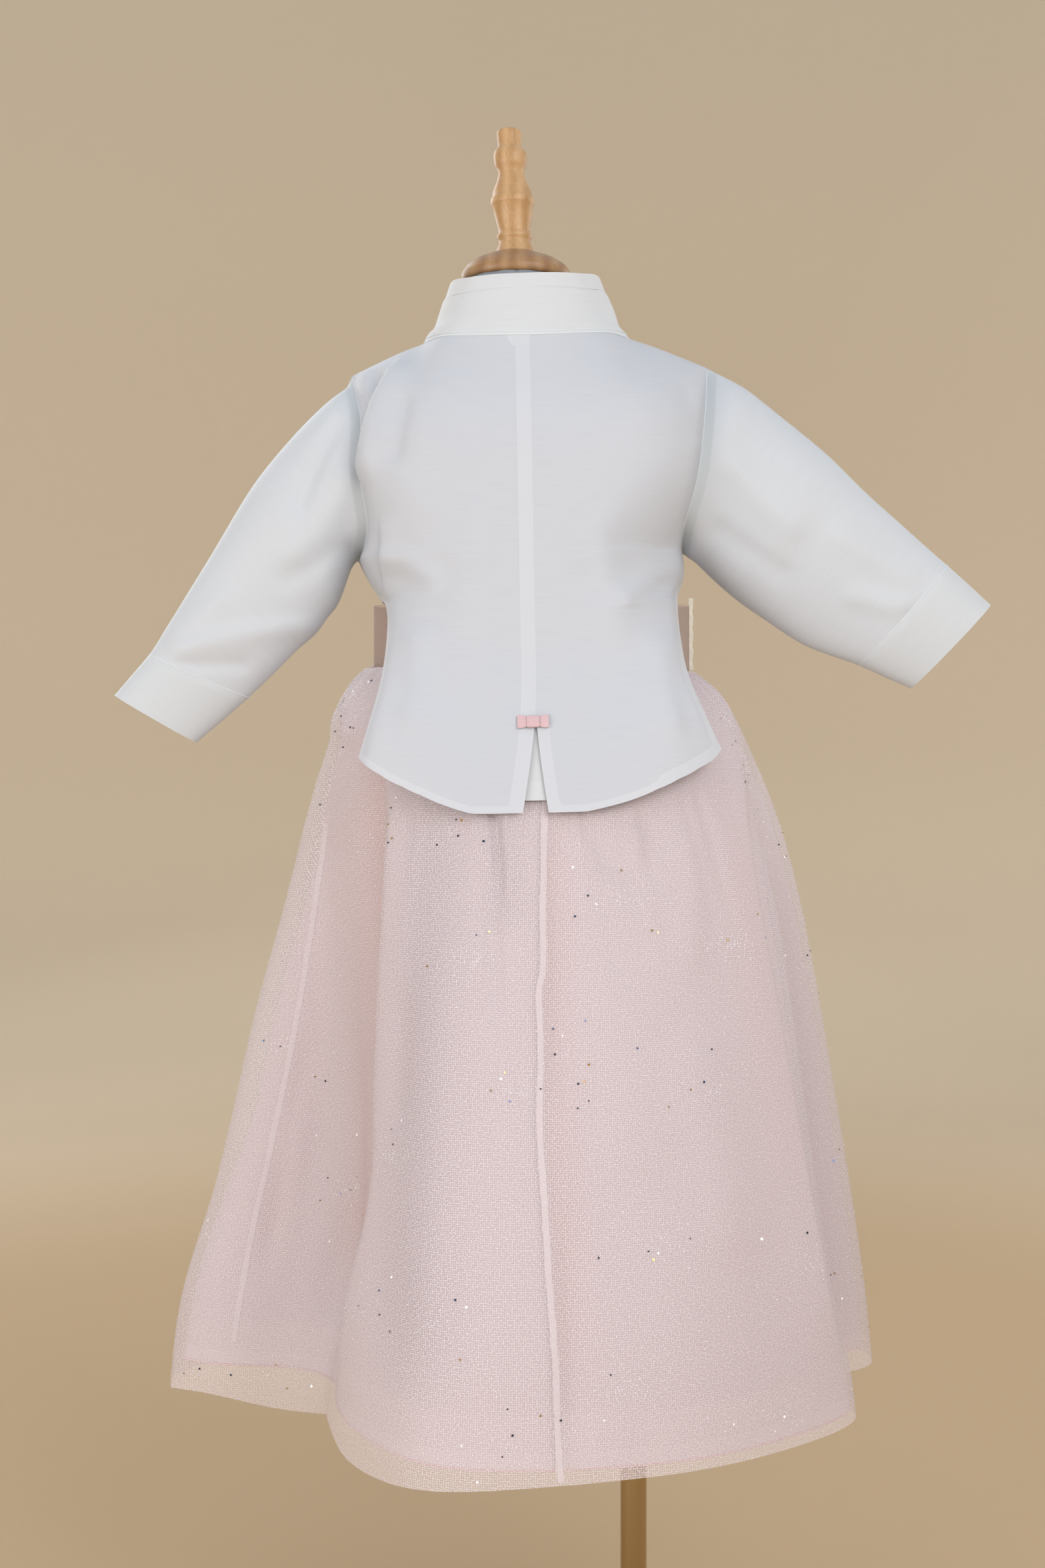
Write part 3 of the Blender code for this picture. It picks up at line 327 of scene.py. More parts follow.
def sew(mesh, line, reach):
    """Moves the open edge of a sheet onto another sheet's edge wherever that is near."""
    tree = point_tree(line)
    sheet = sheet_of(mesh)
    moved = 0
    for corner in sheet.verts:
        if corner.is_boundary:
            near, _, distance = tree.find(corner.co)
            if distance < reach:
                corner.co = near
                moved += 1
    sheet.to_mesh(mesh)
    sheet.free()
    return moved


def edge_points(mesh, chosen, step=0.001):
    """Evenly spaced points along the chosen parts of a sheet's open edge."""
    sheet = sheet_of(mesh)
    found = []
    for edge in sheet.edges:
        a, b = (corner.co for corner in edge.verts)
        if edge.is_boundary and chosen((a + b) / 2):
            steps = max(1, round((b - a).length / step))
            found += [a.lerp(b, i / steps) for i in range(steps + 1)]
    sheet.free()
    return found


def note_distance(mesh, name, *lines):
    """Writes each vertex's distance from the nearest point of these lines, in metres. Each line is
    its points, and how much further off they count, which makes a band along them narrower."""
    nearest = np.full(len(mesh.vertices), FAR)
    for points, further in lines:
        if points:
            tree = point_tree(points)
            away = np.array([tree.find(vertex.co)[2] for vertex in mesh.vertices])
            nearest = np.minimum(nearest, away + further)
    noted = mesh.attributes.new(name, "FLOAT", "POINT")
    noted.data.foreach_set("value", nearest.astype(np.float32))


def lay_flat(mesh, across=(1, 0, 0), along=(0, 0, 1)):
    """A flat layout seen square to the cloth, in metres."""
    layer = mesh.uv_layers.new(name="Cloth")
    right, up = Vector(across).normalized(), Vector(along).normalized()
    for loop in mesh.loops:
        place = mesh.vertices[loop.vertex_index].co
        layer.data[loop.index].uv = (place.dot(right), place.dot(up))


def evened(mesh, points, across, rounds=160):
    """Lets each part of a flat layout that is too wide or too narrow spread over its neighbours."""
    ends = np.empty(len(mesh.edges) * 2, dtype=np.int32)
    mesh.edges.foreach_get("vertices", ends)
    one, other = ends.reshape(-1, 2).T
    facing = read_normals(mesh)
    out = facing[one, :2] + facing[other, :2]
    out /= np.maximum(np.linalg.norm(out, axis=1), 1e-6)[:, None]
    step = points[other, :2] - points[one, :2]
    width = step[:, 0] * out[:, 1] - step[:, 1] * out[:, 0]
    joined = np.abs(across[one] - across[other]) < 0.1
    one, other, width = one[joined], other[joined], width[joined]
    count = len(points)
    shared = np.maximum(np.bincount(one, minlength=count) + np.bincount(other, minlength=count), 1)
    for _ in range(rounds):
        pulled = (np.bincount(one, across[other] - width, count)
                  + np.bincount(other, across[one] + width, count)) / shared
        across = 0.2 * across + 0.8 * pulled
    return across


def lay_round(mesh, centre_x, rings=24, stops=241):
    """A flat layout that goes round the body from the middle of the back, joined at the front. Its
    width follows the cloth in and out of its folds, measured round the cloth at many heights."""
    points = read_points(mesh)
    turns = np.arctan2(points[:, 0] - centre_x, points[:, 1])
    radii = np.hypot(points[:, 0] - centre_x, points[:, 1])
    bounds = np.linspace(-math.pi, math.pi, stops)
    middles = (bounds[1:] + bounds[:-1]) / 2
    heights = np.linspace(points[:, 2].min(), points[:, 2].max(), rings)
    apart = heights[1] - heights[0]
    walks, wholes = [], []
    for height in heights:
        near = np.abs(points[:, 2] - height) < apart / 2
        weight, _ = np.histogram(turns[near], bounds)
        total, _ = np.histogram(turns[near], bounds, weights=radii[near])
        ring = np.interp(bounds, middles[weight > 0], total[weight > 0] / weight[weight > 0])
        steps = np.hypot(np.diff(ring), ring[1:] * np.diff(bounds))
        walked = np.concatenate([[0], np.cumsum(steps)])
        walks.append(np.interp(turns, bounds, walked) - np.interp(0, bounds, walked))
        wholes.append(walked[-1])
    walks = np.array(walks)
    level = (points[:, 2] - heights[0]) / apart
    low = np.clip(level.astype(int), 0, rings - 2)
    share = level - low
    each = np.arange(len(points))
    across = walks[low, each] * (1 - share) + walks[low + 1, each] * share
    across = evened(mesh, points, across)
    layer = mesh.uv_layers.new(name="Cloth")
    for face in mesh.polygons:
        spots = [across[index] for index in face.vertices]
        whole = wholes[low[face.vertices[0]]]
        if max(spots) - min(spots) > whole / 2:
            spots = [spot + whole if spot < 0 else spot for spot in spots]
        for loop, index, spot in zip(face.loop_indices, face.vertices, spots):
            layer.data[loop].uv = (spot, points[index][2])


def edge_line(mesh, chosen):
    """The longest chosen stretch of a sheet's open edge, as points in order."""
    sheet = sheet_of(mesh)
    kept = [edge for edge in sheet.edges
            if edge.is_boundary and chosen((edge.verts[0].co + edge.verts[1].co) / 2)]
    ends = {}
    for edge in kept:
        for corner in edge.verts:
            ends.setdefault(corner, []).append(edge)
    starts = [corner for corner, edges in ends.items() if len(edges) == 1]
    used, longest = set(), []
    for corner in starts + [kept[0].verts[0]]:
        line = [corner.co.copy()]
        while True:
            onward = next((edge for edge in ends[corner] if edge not in used), None)
            if onward is None:
                break
            used.add(onward)
            corner = onward.other_vert(corner)
            line.append(corner.co.copy())
        longest = max(longest, line, key=len)
    sheet.free()
    return longest


# %% Finished pieces
def finish_piece(name, mesh, thickness, finish, slot, *nodes):
    """Gives a sheet its thickness, finish and place on the frame, and shows it for its solids.
    A finish may be a pair: the outer side and the plainer inner one."""
    piece = new_object(name, mesh)
    finishes = finish if isinstance(finish, tuple) else (finish,)
    if thickness:
        wall = piece.modifiers.new("Thickness", "SOLIDIFY")
        wall.thickness = thickness
        wall.offset = -1
        wall.material_offset = len(finishes) - 1
        mesh.materials.clear()
        for layer in finishes:
            mesh.materials.append(layer)
        piece = new_object(name, applied(piece))
    piece.name = name
    piece.data.name = name
    piece.data.materials.clear()
    for layer in finishes:
        piece.data.materials.append(layer)
    piece.data.shade_smooth()
    piece.data.set_sharp_from_angle(angle=math.radians(50))
    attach(piece, "root")
    if nodes:
        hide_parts(*nodes)
    faces = sum(len(face.vertices) - 2 for face in piece.data.polygons)
    print(name, "has", faces, "triangles")
    return piece


def round_cord(name, points, radius, finish, slot, closed=False):
    """A thin cord along a line of points."""
    line = bpy.data.curves.new(name, "CURVE")
    line.dimensions = "3D"
    line.bevel_depth = radius
    line.bevel_resolution = 2
    line.use_fill_caps = True
    spline = line.splines.new("POLY")
    spline.points.add(len(points) - 1)
    for target, point in zip(spline.points, points):
        target.co = (*point, 1)
    spline.use_cyclic_u = closed
    return finish_piece(name, applied(new_object(name, line)), 0, finish, slot)


def surface_of(mesh):
    """A tree that rays can be cast on."""
    return BVHTree.FromPolygons([vertex.co for vertex in mesh.vertices],
                                [face.vertices for face in mesh.polygons])


# %% [markdown]
# ## Finishes
#
# Colours are given as they look, from 0 to 255, and turned into light for the shader. Effects that
# several pieces share are node groups, built once: the weave, the band along an edge, the holes of
# the net and the grain of wood. The shader itself stays in each material.

# %% Node tools
def seen(red, green, blue):
    """A colour as it looks, from 0 to 255, turned into linear light."""
    return tuple(((v / 255 + 0.055) / 1.055) ** 2.4 if v > 10 else v / 255 / 12.92
                 for v in (red, green, blue)) + (1.0,)


def fill(tree, node, inputs):
    """Gives a node its inputs, as plain values or links."""
    for key, value in inputs.items():
        if isinstance(value, bpy.types.NodeSocket):
            tree.links.new(value, node.inputs[key])
        else:
            node.inputs[key].default_value = value
    return node


def add_node(tree, kind, settings, inputs):
    made = tree.nodes.new(kind)
    for key, value in settings.items():
        setattr(made, key, value)
    return fill(tree, made, inputs)


def maths(tree, operation, *values):
    made = add_node(tree, "ShaderNodeMath", {"operation": operation}, dict(enumerate(values)))
    return made.outputs[0]


def blend(tree, share, low, high):
    """A colour between two others."""
    made = add_node(tree, "ShaderNodeMix", {"data_type": "RGBA"}, {0: share, 6: low, 7: high})
    return made.outputs[2]


def between(tree, share, low, high):
    """A number between two others."""
    made = add_node(tree, "ShaderNodeMix", {"data_type": "FLOAT"}, {0: share, 2: low, 3: high})
    return made.outputs[0]


def step_down(tree, value, start, end):
    """1 up to start, 0 past end, smooth between."""
    made = add_node(tree, "ShaderNodeMapRange", {"interpolation_type": "SMOOTHSTEP"},
                    {0: value, 1: start, 2: end, 3: 1.0, 4: 0.0})
    return made.outputs[0]


def new_group(name, inputs, outputs):
    tree = bpy.data.node_groups.new(name, "ShaderNodeTree")
    for label, kind, value in inputs:
        socket = tree.interface.new_socket(name=label, in_out="INPUT", socket_type=kind)
        if value is not None:
            socket.default_value = value
    for label in outputs:
        tree.interface.new_socket(name=label, in_out="OUTPUT", socket_type="NodeSocketFloat")
    enter, leave = tree.nodes.new("NodeGroupInput"), tree.nodes.new("NodeGroupOutput")
    return tree, enter.outputs, leave.inputs


# %% The shared effects
def make_slubs():
    """The uneven threads of an organza: fine streaks along the weft and fewer along the warp."""
    tree, given, out = new_group("Slubs", [("Place", "NodeSocketVector", None)], ["Tone"])
    weft = add_node(tree, "ShaderNodeVectorMath", {"operation": "MULTIPLY"},
                    {0: given["Place"], 1: (36.0, 620.0, 1.0)})
    streaks = add_node(tree, "ShaderNodeTexNoise", {"noise_dimensions": "2D"},
                       {"Vector": weft.outputs[0], "Scale": 1.0, "Detail": 1.0})
    tree.links.new(streaks.outputs[0], out["Tone"])
    return tree


def make_edge_band():
    """1 within a width of the edge, with a clean border."""
    tree, given, out = new_group("Edge band", [
        ("Distance", "NodeSocketFloat", 1.0), ("Width", "NodeSocketFloat", SEAM_BAND)], ["Mask"])
    start = maths(tree, "SUBTRACT", given["Width"], 0.0003)
    end = maths(tree, "ADD", given["Width"], 0.0003)
    tree.links.new(step_down(tree, given["Distance"], start, end), out["Mask"])
    return tree


def make_net_holes():
    """The threads of a tulle: 1 on a thread and 0 in a hole."""
    tree, given, out = new_group("Net", [
        ("Place", "NodeSocketVector", None), ("Cell", "NodeSocketFloat", 0.0014)], ["Thread"])
    scaled = add_node(tree, "ShaderNodeVectorMath", {"operation": "SCALE"}, {
        0: given["Place"], "Scale": maths(tree, "DIVIDE", 1.0, given["Cell"])})
    holes = add_node(tree, "ShaderNodeTexVoronoi", {"feature": "F1", "voronoi_dimensions": "2D"},
                     {"Vector": scaled.outputs[0], "Scale": 1.0, "Randomness": 0.35})
    hole = step_down(tree, holes.outputs["Distance"], 0.34, 0.52)
    tree.links.new(maths(tree, "SUBTRACT", 1.0, hole), out["Thread"])
    return tree


def make_grain():
    """Wood grain along Z: fine dark pores and slow bands."""
    tree, given, out = new_group("Wood grain", [
        ("Place", "NodeSocketVector", None), ("Scale", "NodeSocketFloat", 1.0)],
        ["Bands", "Pores"])
    scaled = add_node(tree, "ShaderNodeVectorMath", {"operation": "SCALE"},
                      {0: given["Place"], "Scale": given["Scale"]})
    drift = add_node(tree, "ShaderNodeTexNoise", {}, {"Vector": scaled.outputs[0], "Scale": 14.0,
                                                      "Detail": 2.0})
    pushed = add_node(tree, "ShaderNodeVectorMath", {"operation": "MULTIPLY_ADD"}, {
        0: drift.outputs[1], 1: (0.02, 0.02, 0.0), 2: scaled.outputs[0]})
    bands = add_node(tree, "ShaderNodeTexWave", {"bands_direction": "X"}, {
        "Vector": pushed.outputs[0], "Scale": 26.0, "Distortion": 2.5, "Detail": 2.0})
    tree.links.new(bands.outputs[1], out["Bands"])
    long_way = add_node(tree, "ShaderNodeVectorMath", {"operation": "MULTIPLY"},
                        {0: scaled.outputs[0], 1: (1500.0, 1500.0, 60.0)})
    pores = add_node(tree, "ShaderNodeTexNoise", {}, {"Vector": long_way.outputs[0], "Scale": 1.0,
                                                      "Detail": 2.0})
    tree.links.new(pores.outputs[0], out["Pores"])
    return tree


slub_group = make_slubs()
band_group = make_edge_band()
net_group = make_net_holes()
grain_group = make_grain()
print("effects:", [group.name for group in bpy.data.node_groups])


# %% Cloth materials
def new_finish(name):
    made = bpy.data.materials.new(name)
    made.use_nodes = True
    tree = made.node_tree
    return made, tree, tree.nodes["Principled BSDF"]


def use_group(tree, group, inputs):
    return add_node(tree, "ShaderNodeGroup", {"node_tree": group}, inputs).outputs


def clear_side(name):
    """The inner side of a sheer shell. The outer side shows from both, so this one is clear, or
    the cloth would hide twice as much as a single layer does."""
    made, _, shader = new_finish(name + " inside")
    shader.inputs["Alpha"].default_value = 0.0
    return made


def sheer_cloth(name, colour, shade, cover, band_cover, band_colour=None, roughness=0.5,
                sheen=0.25, slub=0.6, band=SEAM_BAND, tint_and_shade_colour=None):
    """A woven sheer cloth, whose turned edges hide more than one layer does. Its tint and shade
    colour is a deeper pink where folded layers lie over each other, and painted shade in the skirt's
    trough. With it, a greyer colour is painted as shade where a painted shade mark is high."""
    made, tree, shader = new_finish(name)
    place = add_node(tree, "ShaderNodeUVMap", {"uv_map": "Cloth"}, {}).outputs[0]
    edge = add_node(tree, "ShaderNodeAttribute", {"attribute_name": "edge"}, {}).outputs["Fac"]
    streaks = use_group(tree, slub_group, {"Place": place})["Tone"]
    band = use_group(tree, band_group, {"Distance": edge, "Width": band})["Mask"]
    body = blend(tree, maths(tree, "MULTIPLY", streaks, slub), colour, shade)
    if tint_and_shade_colour:
        # deeper pink where layers overlap, and painted shade in the trough beside the panel's left
        # edge
        layer_tint_and_shade = add_node(tree, "ShaderNodeAttribute", {"attribute_name": "layer_tint_and_shade"}, {})
        body = blend(tree, layer_tint_and_shade.outputs["Fac"], body, tint_and_shade_colour)
        # painted shade: a greyer colour where the painted shade mark is high
        painted_shade = add_node(tree, "ShaderNodeAttribute", {"attribute_name": "painted_shade"}, {})
        body = blend(tree, painted_shade.outputs["Fac"], body, seen(198, 180, 183))
    fill(tree, shader, {"Base Color": blend(tree, band, body, band_colour or colour),
                        "Alpha": between(tree, band, cover, band_cover),
                        "Roughness": roughness, "Sheen Weight": sheen, "Sheen Roughness": 0.4,
                        "Specular IOR Level": 0.35})
    return made, clear_side(name)


def solid_cloth(name, colour, shade, roughness=0.6, sheen=0.2, relief=0.0, pitch=0.0016):
    """A close cloth that hides what is behind it. Relief gives it cross stitches."""
    made, tree, shader = new_finish(name)
    place = add_node(tree, "ShaderNodeUVMap", {"uv_map": "Cloth"}, {}).outputs[0]
    streaks = use_group(tree, slub_group, {"Place": place})["Tone"]
    fill(tree, shader, {"Base Color": blend(tree, streaks, colour, shade),
                        "Roughness": roughness, "Sheen Weight": sheen,
                        "Specular IOR Level": 0.35})
    if relief:
        waves = add_node(tree, "ShaderNodeTexWave", {"bands_direction": "Y"}, {
            "Vector": place, "Scale": 0.314 / pitch, "Distortion": 1.5, "Detail": 1.0})
        bump = add_node(tree, "ShaderNodeBump", {}, {"Strength": relief, "Distance": 0.0004,
                                                     "Height": waves.outputs[1]})
        tree.links.new(bump.outputs[0], shader.inputs["Normal"])
    return made


def net_cloth(name, colour, cover):
    """Tulle: fine threads round open holes."""
    made, tree, shader = new_finish(name)
    place = add_node(tree, "ShaderNodeUVMap", {"uv_map": "Cloth"}, {}).outputs[0]
    thread = use_group(tree, net_group, {"Place": place})["Thread"]
    fill(tree, shader, {"Base Color": colour, "Roughness": 0.5, "Specular IOR Level": 0.1,
                        "Alpha": between(tree, thread, cover * 0.7, min(cover * 2.1, 0.9))})
    return made, clear_side(name)


white_organza = sheer_cloth("white organza", seen(223, 226, 234), seen(215, 219, 228),
                            cover=0.80, band_cover=0.86)
# the sleeve's band round the armhole is darker than the sleeve: painted shade along the armhole seam
sleeve_organza = sheer_cloth("sleeve organza", seen(226, 230, 237), seen(218, 223, 230),
                             cover=0.84, band_cover=0.86, band_colour=seen(212, 218, 223),
                             band=0.0075)
white_thread = solid_cloth("white thread", seen(229, 234, 239), seen(221, 227, 232))
cuff_organza = sheer_cloth("cuff organza", seen(218, 222, 227), seen(212, 216, 222),
                           cover=0.93, band_cover=0.97)
collar_cloth = solid_cloth("collar organza", seen(219, 221, 225), seen(213, 216, 220))
strip_cloth = solid_cloth("collar strip", seen(219, 221, 224), seen(215, 217, 221))
satin_pink = solid_cloth("ribbon satin", seen(223, 193, 198), seen(219, 182, 188),
                         roughness=0.35, sheen=0.1)
bodice_cloth = sheer_cloth("bodice organza", seen(204, 178, 168), seen(192, 167, 158),
                           cover=0.42, band_cover=0.50)
strap_cloth = solid_cloth("strap cloth", seen(240, 238, 246), seen(234, 232, 242))
lining_cloth = solid_cloth("lining", seen(253, 228, 229), seen(250, 223, 225))
# its tint and shade colour is the deeper pink of overlapping layers and the painted shade of the
# trough
pink_organza = sheer_cloth("pink organza", seen(255, 234, 236), seen(253, 229, 232),
                           cover=0.74, band_cover=0.84, sheen=0.15, tint_and_shade_colour=seen(253, 202, 190))
rolled_pink = solid_cloth("rolled hem", seen(246, 202, 198), seen(242, 192, 190))
glitter_net = net_cloth("glitter net", seen(246, 234, 238), 0.26)
serged_thread = solid_cloth("serged edge", seen(254, 242, 244), seen(250, 230, 232), relief=0.3)
cream_thread = solid_cloth("cream serging", seen(246, 240, 226), seen(236, 226, 208))
print("cloth finishes:", len(bpy.data.materials))


# %% [markdown]
# ## The stand
#
# A dress form of this kind is a moulded body under a plain stretch cover, with a turned and lacquered
# cap and finial on its neck. The pole is a brushed brass tube. Turned parts have one profile all
# round, so each is spun from its profile here, finer than the solids are.

# %% Materials of the stand
def form_cover():
    made, tree, shader = new_finish("form cover")
    place = add_node(tree, "ShaderNodeTexCoord", {}, {}).outputs["Object"]
    fine = add_node(tree, "ShaderNodeTexNoise", {}, {"Vector": place, "Scale": 900.0,
                                                     "Detail": 2.0})
    fill(tree, shader, {"Roughness": 0.85, "Base Color": blend(
        tree, fine.outputs[0], seen(150, 156, 164), seen(136, 142, 150))})
    return made


def turned_wood(name, light, dark, roughness):
    made, tree, shader = new_finish(name)
    place = add_node(tree, "ShaderNodeTexCoord", {}, {}).outputs["Object"]
    grain = use_group(tree, grain_group, {"Place": place})
    body = blend(tree, grain["Bands"], light, dark)
    pores = add_node(tree, "ShaderNodeMapRange", {}, {0: grain["Pores"], 1: 0.55, 2: 0.75,
                                                      3: 0.0, 4: 0.45})
    fill(tree, shader, {"Base Color": blend(tree, pores.outputs[0], body, seen(110, 74, 40)),
                        "Roughness": roughness, "Coat Weight": 0.15, "Coat Roughness": 0.3})
    return made


def brushed_metal(name, colour, roughness):
    made, tree, shader = new_finish(name)
    place = add_node(tree, "ShaderNodeTexCoord", {}, {}).outputs["Object"]
    long_way = add_node(tree, "ShaderNodeVectorMath", {"operation": "MULTIPLY"},
                        {0: place, 1: (40.0, 40.0, 2500.0)})
    lines = add_node(tree, "ShaderNodeTexNoise", {}, {"Vector": long_way.outputs[0],
                                                      "Scale": 1.0, "Detail": 2.0})
    fill(tree, shader, {"Base Color": colour, "Metallic": 1.0, "Roughness": between(
        tree, lines.outputs[0], roughness - 0.08, roughness + 0.08)})
    return made


cover = form_cover()
finial_wood = turned_wood("finial wood", seen(208, 168, 122), seen(190, 148, 100), 0.45)
cap_wood = turned_wood("cap wood", seen(176, 138, 98), seen(156, 116, 78), 0.45)
brass = brushed_metal("brass", seen(190, 166, 126), 0.22)
base_metal = brushed_metal("base metal", seen(182, 154, 116), 0.40)


# %% Turned parts
Turned = namedtuple("Turned", "height radius")
NECK_X = 0.0893             # the form's axis at its neck, which leans as it goes up
NECK_TOP = 1.0825
FORM_LEAN = math.tan(math.radians(3.0))
CAP = [Turned(*row) for row in [
    (1.0828, .0400), (1.0836, .0411), (1.0850, .0418), (1.0874, .0421), (1.0895, .0420),
    (1.0908, .0411), (1.0925, .0400), (1.0934, .0395), (1.0945, .0385), (1.0985, .0330),
    (1.1020, .0250), (1.1050, .0170)]]
FINIAL = [Turned(*row) for row in [
    (1.1053, .0150), (1.1085, .0140), (1.1136, .0119), (1.1150, .0120), (1.1165, .0128),
    (1.1180, .0136), (1.1200, .0128), (1.1213, .0119), (1.1240, .0120), (1.1330, .0140),
    (1.1415, .0154), (1.1424, .0162), (1.1435, .0166), (1.1465, .0166), (1.1476, .0162),
    (1.1485, .0154), (1.1524, .0148), (1.1610, .0112), (1.1660, .0098), (1.1687, .0096),
    (1.1714, .0114), (1.1740, .0122), (1.1789, .0128), (1.1830, .0122), (1.1845, .0112),
    (1.1862, .0096), (1.1885, .0091), (1.1960, .0093), (1.1985, .0092), (1.1996, .0086),
    (1.2000, .0078)]]


def form_x(height):
    return NECK_X - (NECK_TOP - height) * FORM_LEAN


def spun(places, steps):
    """A line of places, spun round the Z axis."""
    lathe = bmesh.new()
    line = [lathe.verts.new(place) for place in places]
    rail = [lathe.edges.new(pair) for pair in zip(line, line[1:])]
    bmesh.ops.spin(lathe, geom=line + rail, cent=(0, 0, 0), axis=(0, 0, 1), dvec=(0, 0, 0),
                   angle=2 * math.pi, steps=steps, use_merge=True)
    return lathe


def turned(name, profile, finish, slot, *nodes, leaning=True, bored=False, rings=64):
    """A part turned on a lathe: its profile is spun round the axis and sheared to lean."""
    places = [Vector((row.radius, 0, row.height)) for row in profile]
    if bored:
        places.append(places[0])
    else:
        places.insert(0, Vector((0, 0, profile[0].height)))
        places.append(Vector((0, 0, profile[-1].height)))
    lathe = spun(places, rings)
    bmesh.ops.remove_doubles(lathe, verts=lathe.verts, dist=0.000005)
    bmesh.ops.recalc_face_normals(lathe, faces=lathe.faces)
    if leaning:
        for corner in lathe.verts:
            corner.co.x += form_x(corner.co.z)
    return finish_piece(name, mesh_of(lathe, name), 0, finish, slot, *nodes)


turned("turned_cap", CAP, cap_wood, "turned_wood", "neck_cap")
turned("turned_finial", FINIAL, finial_wood, "turned_wood", "finial")
BORE = 0.0103
POLE = [Turned(0.0028, 0.0100), Turned(0.5597, 0.0100)]
SOCKET = [Turned(*row) for row in [
    (0.5597, .0183), (0.5355, .0183), (0.5343, .0179), (0.5340, .0172), (0.5340, BORE),
    (0.5597, BORE)]]
BASE = [Turned(*row) for row in [
    (0.0000, .1490), (0.0003, .1497), (0.0010, .1500), (0.0040, .1500), (0.0047, .1493),
    (0.0050, .1480), (0.0065, .0300), (0.0072, .0245), (0.0090, .0220), (0.0220, .0220),
    (0.0234, .0215), (0.0240, .0200), (0.0240, BORE), (0.0025, BORE), (0.0025, .0002),
    (0.0000, .0002)]]
turned("brass_pole", POLE, brass, "brass_tube", "pole", leaning=False)
turned("brass_socket", SOCKET, brass, "brass_tube", "pole_socket", leaning=False, bored=True)
turned("metal_base", BASE, base_metal, "base_metal", "base", leaning=False, bored=True)
print("form leans from x", round(form_x(0.56), 4), "to", round(form_x(1.0825), 4))


# %% [markdown]
# The body of the form is moulded in one piece, so its solid is enough: a merged copy of it is
# rounded once by subdivision and given the stretch cover's finish.

# %% The form's body
def rounded_solid(name, node, finish, slot, levels=1, crease=None):
    """A whole solid, merged, joined into four-sided faces and rounded by subdivision."""
    body = sheet_of(solids[node].data)
    bmesh.ops.remove_doubles(body, verts=body.verts, dist=WELD)
    bmesh.ops.join_triangles(body, faces=body.faces, angle_face_threshold=math.radians(50),
                             angle_shape_threshold=math.pi)
    if crease:
        layer = body.edges.layers.float.new("crease_edge")
        for edge in body.edges:
            if edge.calc_face_angle(0) > math.radians(60):
                edge[layer] = crease
    piece = finish_piece(name, rounded(body, levels), 0, finish, slot, node)
    return piece


rounded_solid("form_body", "form_torso", cover, "form_cloth", 2, crease=0.8)


# %% [markdown]
# ## The jacket
#
# The back is cut in two, with a seam down its middle that opens into a small vent, and each half has
# its hem faced with a strip of the same organza. Sleeves and cuffs are tubes. Sheer cloth shows its
# own seam allowances, so those are drawn as whiter bands along the hems and down the middle seam on
# the wearer's left half. Round the armholes inside the sleeves the band is darker than the sleeve:
# painted shade along the armhole seam.

# %% Folds of the jacket
BACK_FOLDS = [Fold(*row) for row in [
    # the fold that falls over the left armhole's seam, and the softer drags beside it
    ([(.1740, 1.0240), (.1852, 1.0006), (.1951, .9802), (.1995, .9589), (.2035, .9356),
      (.2045, .9150)], .0056, .0022, .012),
    ([(.1900, 1.0150), (.1975, .9990), (.2020, .9830), (.2045, .9680)], -.0050, .006, .005),
    ([(.1700, .9900), (.1760, .9600), (.1800, .9300)], -.0028, .010, .008),
    ([(-.0330, 1.0020), (-.0420, .9750), (-.0430, .9480)], -.0022, .008, .006),
    # under the arms and across the middle of the back
    ([(.1990, .8700), (.1700, .8620), (.1380, .8420)], .0024, .010, .008),
    ([(-.0380, .8660), (-.0080, .8500), (.0200, .8250)], .0030, .010, .008),
    ([(.1150, .9200), (.1210, .8600), (.1290, .8050), (.1310, .7600)], .0024, .016, .010),
    ([(.0320, .9050), (.0250, .8500), (.0180, .7900)], .0022, .010, .016),
    ([(.1620, .8200), (.1600, .7700), (.1640, .7300)], .0026, .010, .014),
    ([(-.0180, .8150), (-.0160, .7700), (-.0240, .7280)], .0028, .014, .010),
    # the edge that turns in at the top of the left slit
    ([(.1885, .8980), (.1872, .8800), (.1862, .8600), (.1850, .8350)], .0028, .0022, .010),
    # where the skirt's gathers push it out at the waist
    ([(.1030, .7900), (.1060, .7600)], .0010, .006, .008),
    ([(.0480, .7850), (.0450, .7480)], .0012, .008, .006),
]]
FRONT_FOLDS = [Fold(*row) for row in [
    ([(.1880, .9980), (.1930, .9600), (.1960, .9250)], -.0026, .006, .010),
    ([(-.0300, .9990), (-.0360, .9650), (-.0340, .9300)], -.0024, .008, .006),
    ([(.0100, .8950), (.0450, .8700), (.0900, .8600)], .0018, .012, .008),
    ([(.1900, .8700), (.1500, .8500), (.1200, .8150)], .0020, .010, .010),
    ([(.1350, .8300), (.1380, .7800), (.1330, .7350)], .0016, .012, .014),
    ([(-.0150, .8200), (-.0130, .7800), (-.0200, .7300)], .0018, .012, .010),
]]
SLEEVE_FOLDS_LEFT = [Fold(*row) for row in [
    ([(.3631, .7967), (.3180, .8085), (.2679, .8176), (.2280, .8230)], .0030, .007, .010),
    ([(.3550, .7850), (.3200, .7900), (.2850, .7900)], -.0020, .008, .006),
    ([(.2160, .9790), (.2340, .9495), (.2470, .9230), (.2560, .8950)], -.0034, .008, .007),
    ([(.2120, .9450), (.2230, .9150), (.2420, .8850), (.2700, .8600)], .0026, .010, .012),
    ([(.2150, .8850), (.2400, .8650), (.2750, .8450)], -.0018, .010, .008),
    ([(.3000, .8500), (.3350, .8200), (.3600, .8050)], .0014, .008, .010),
]]
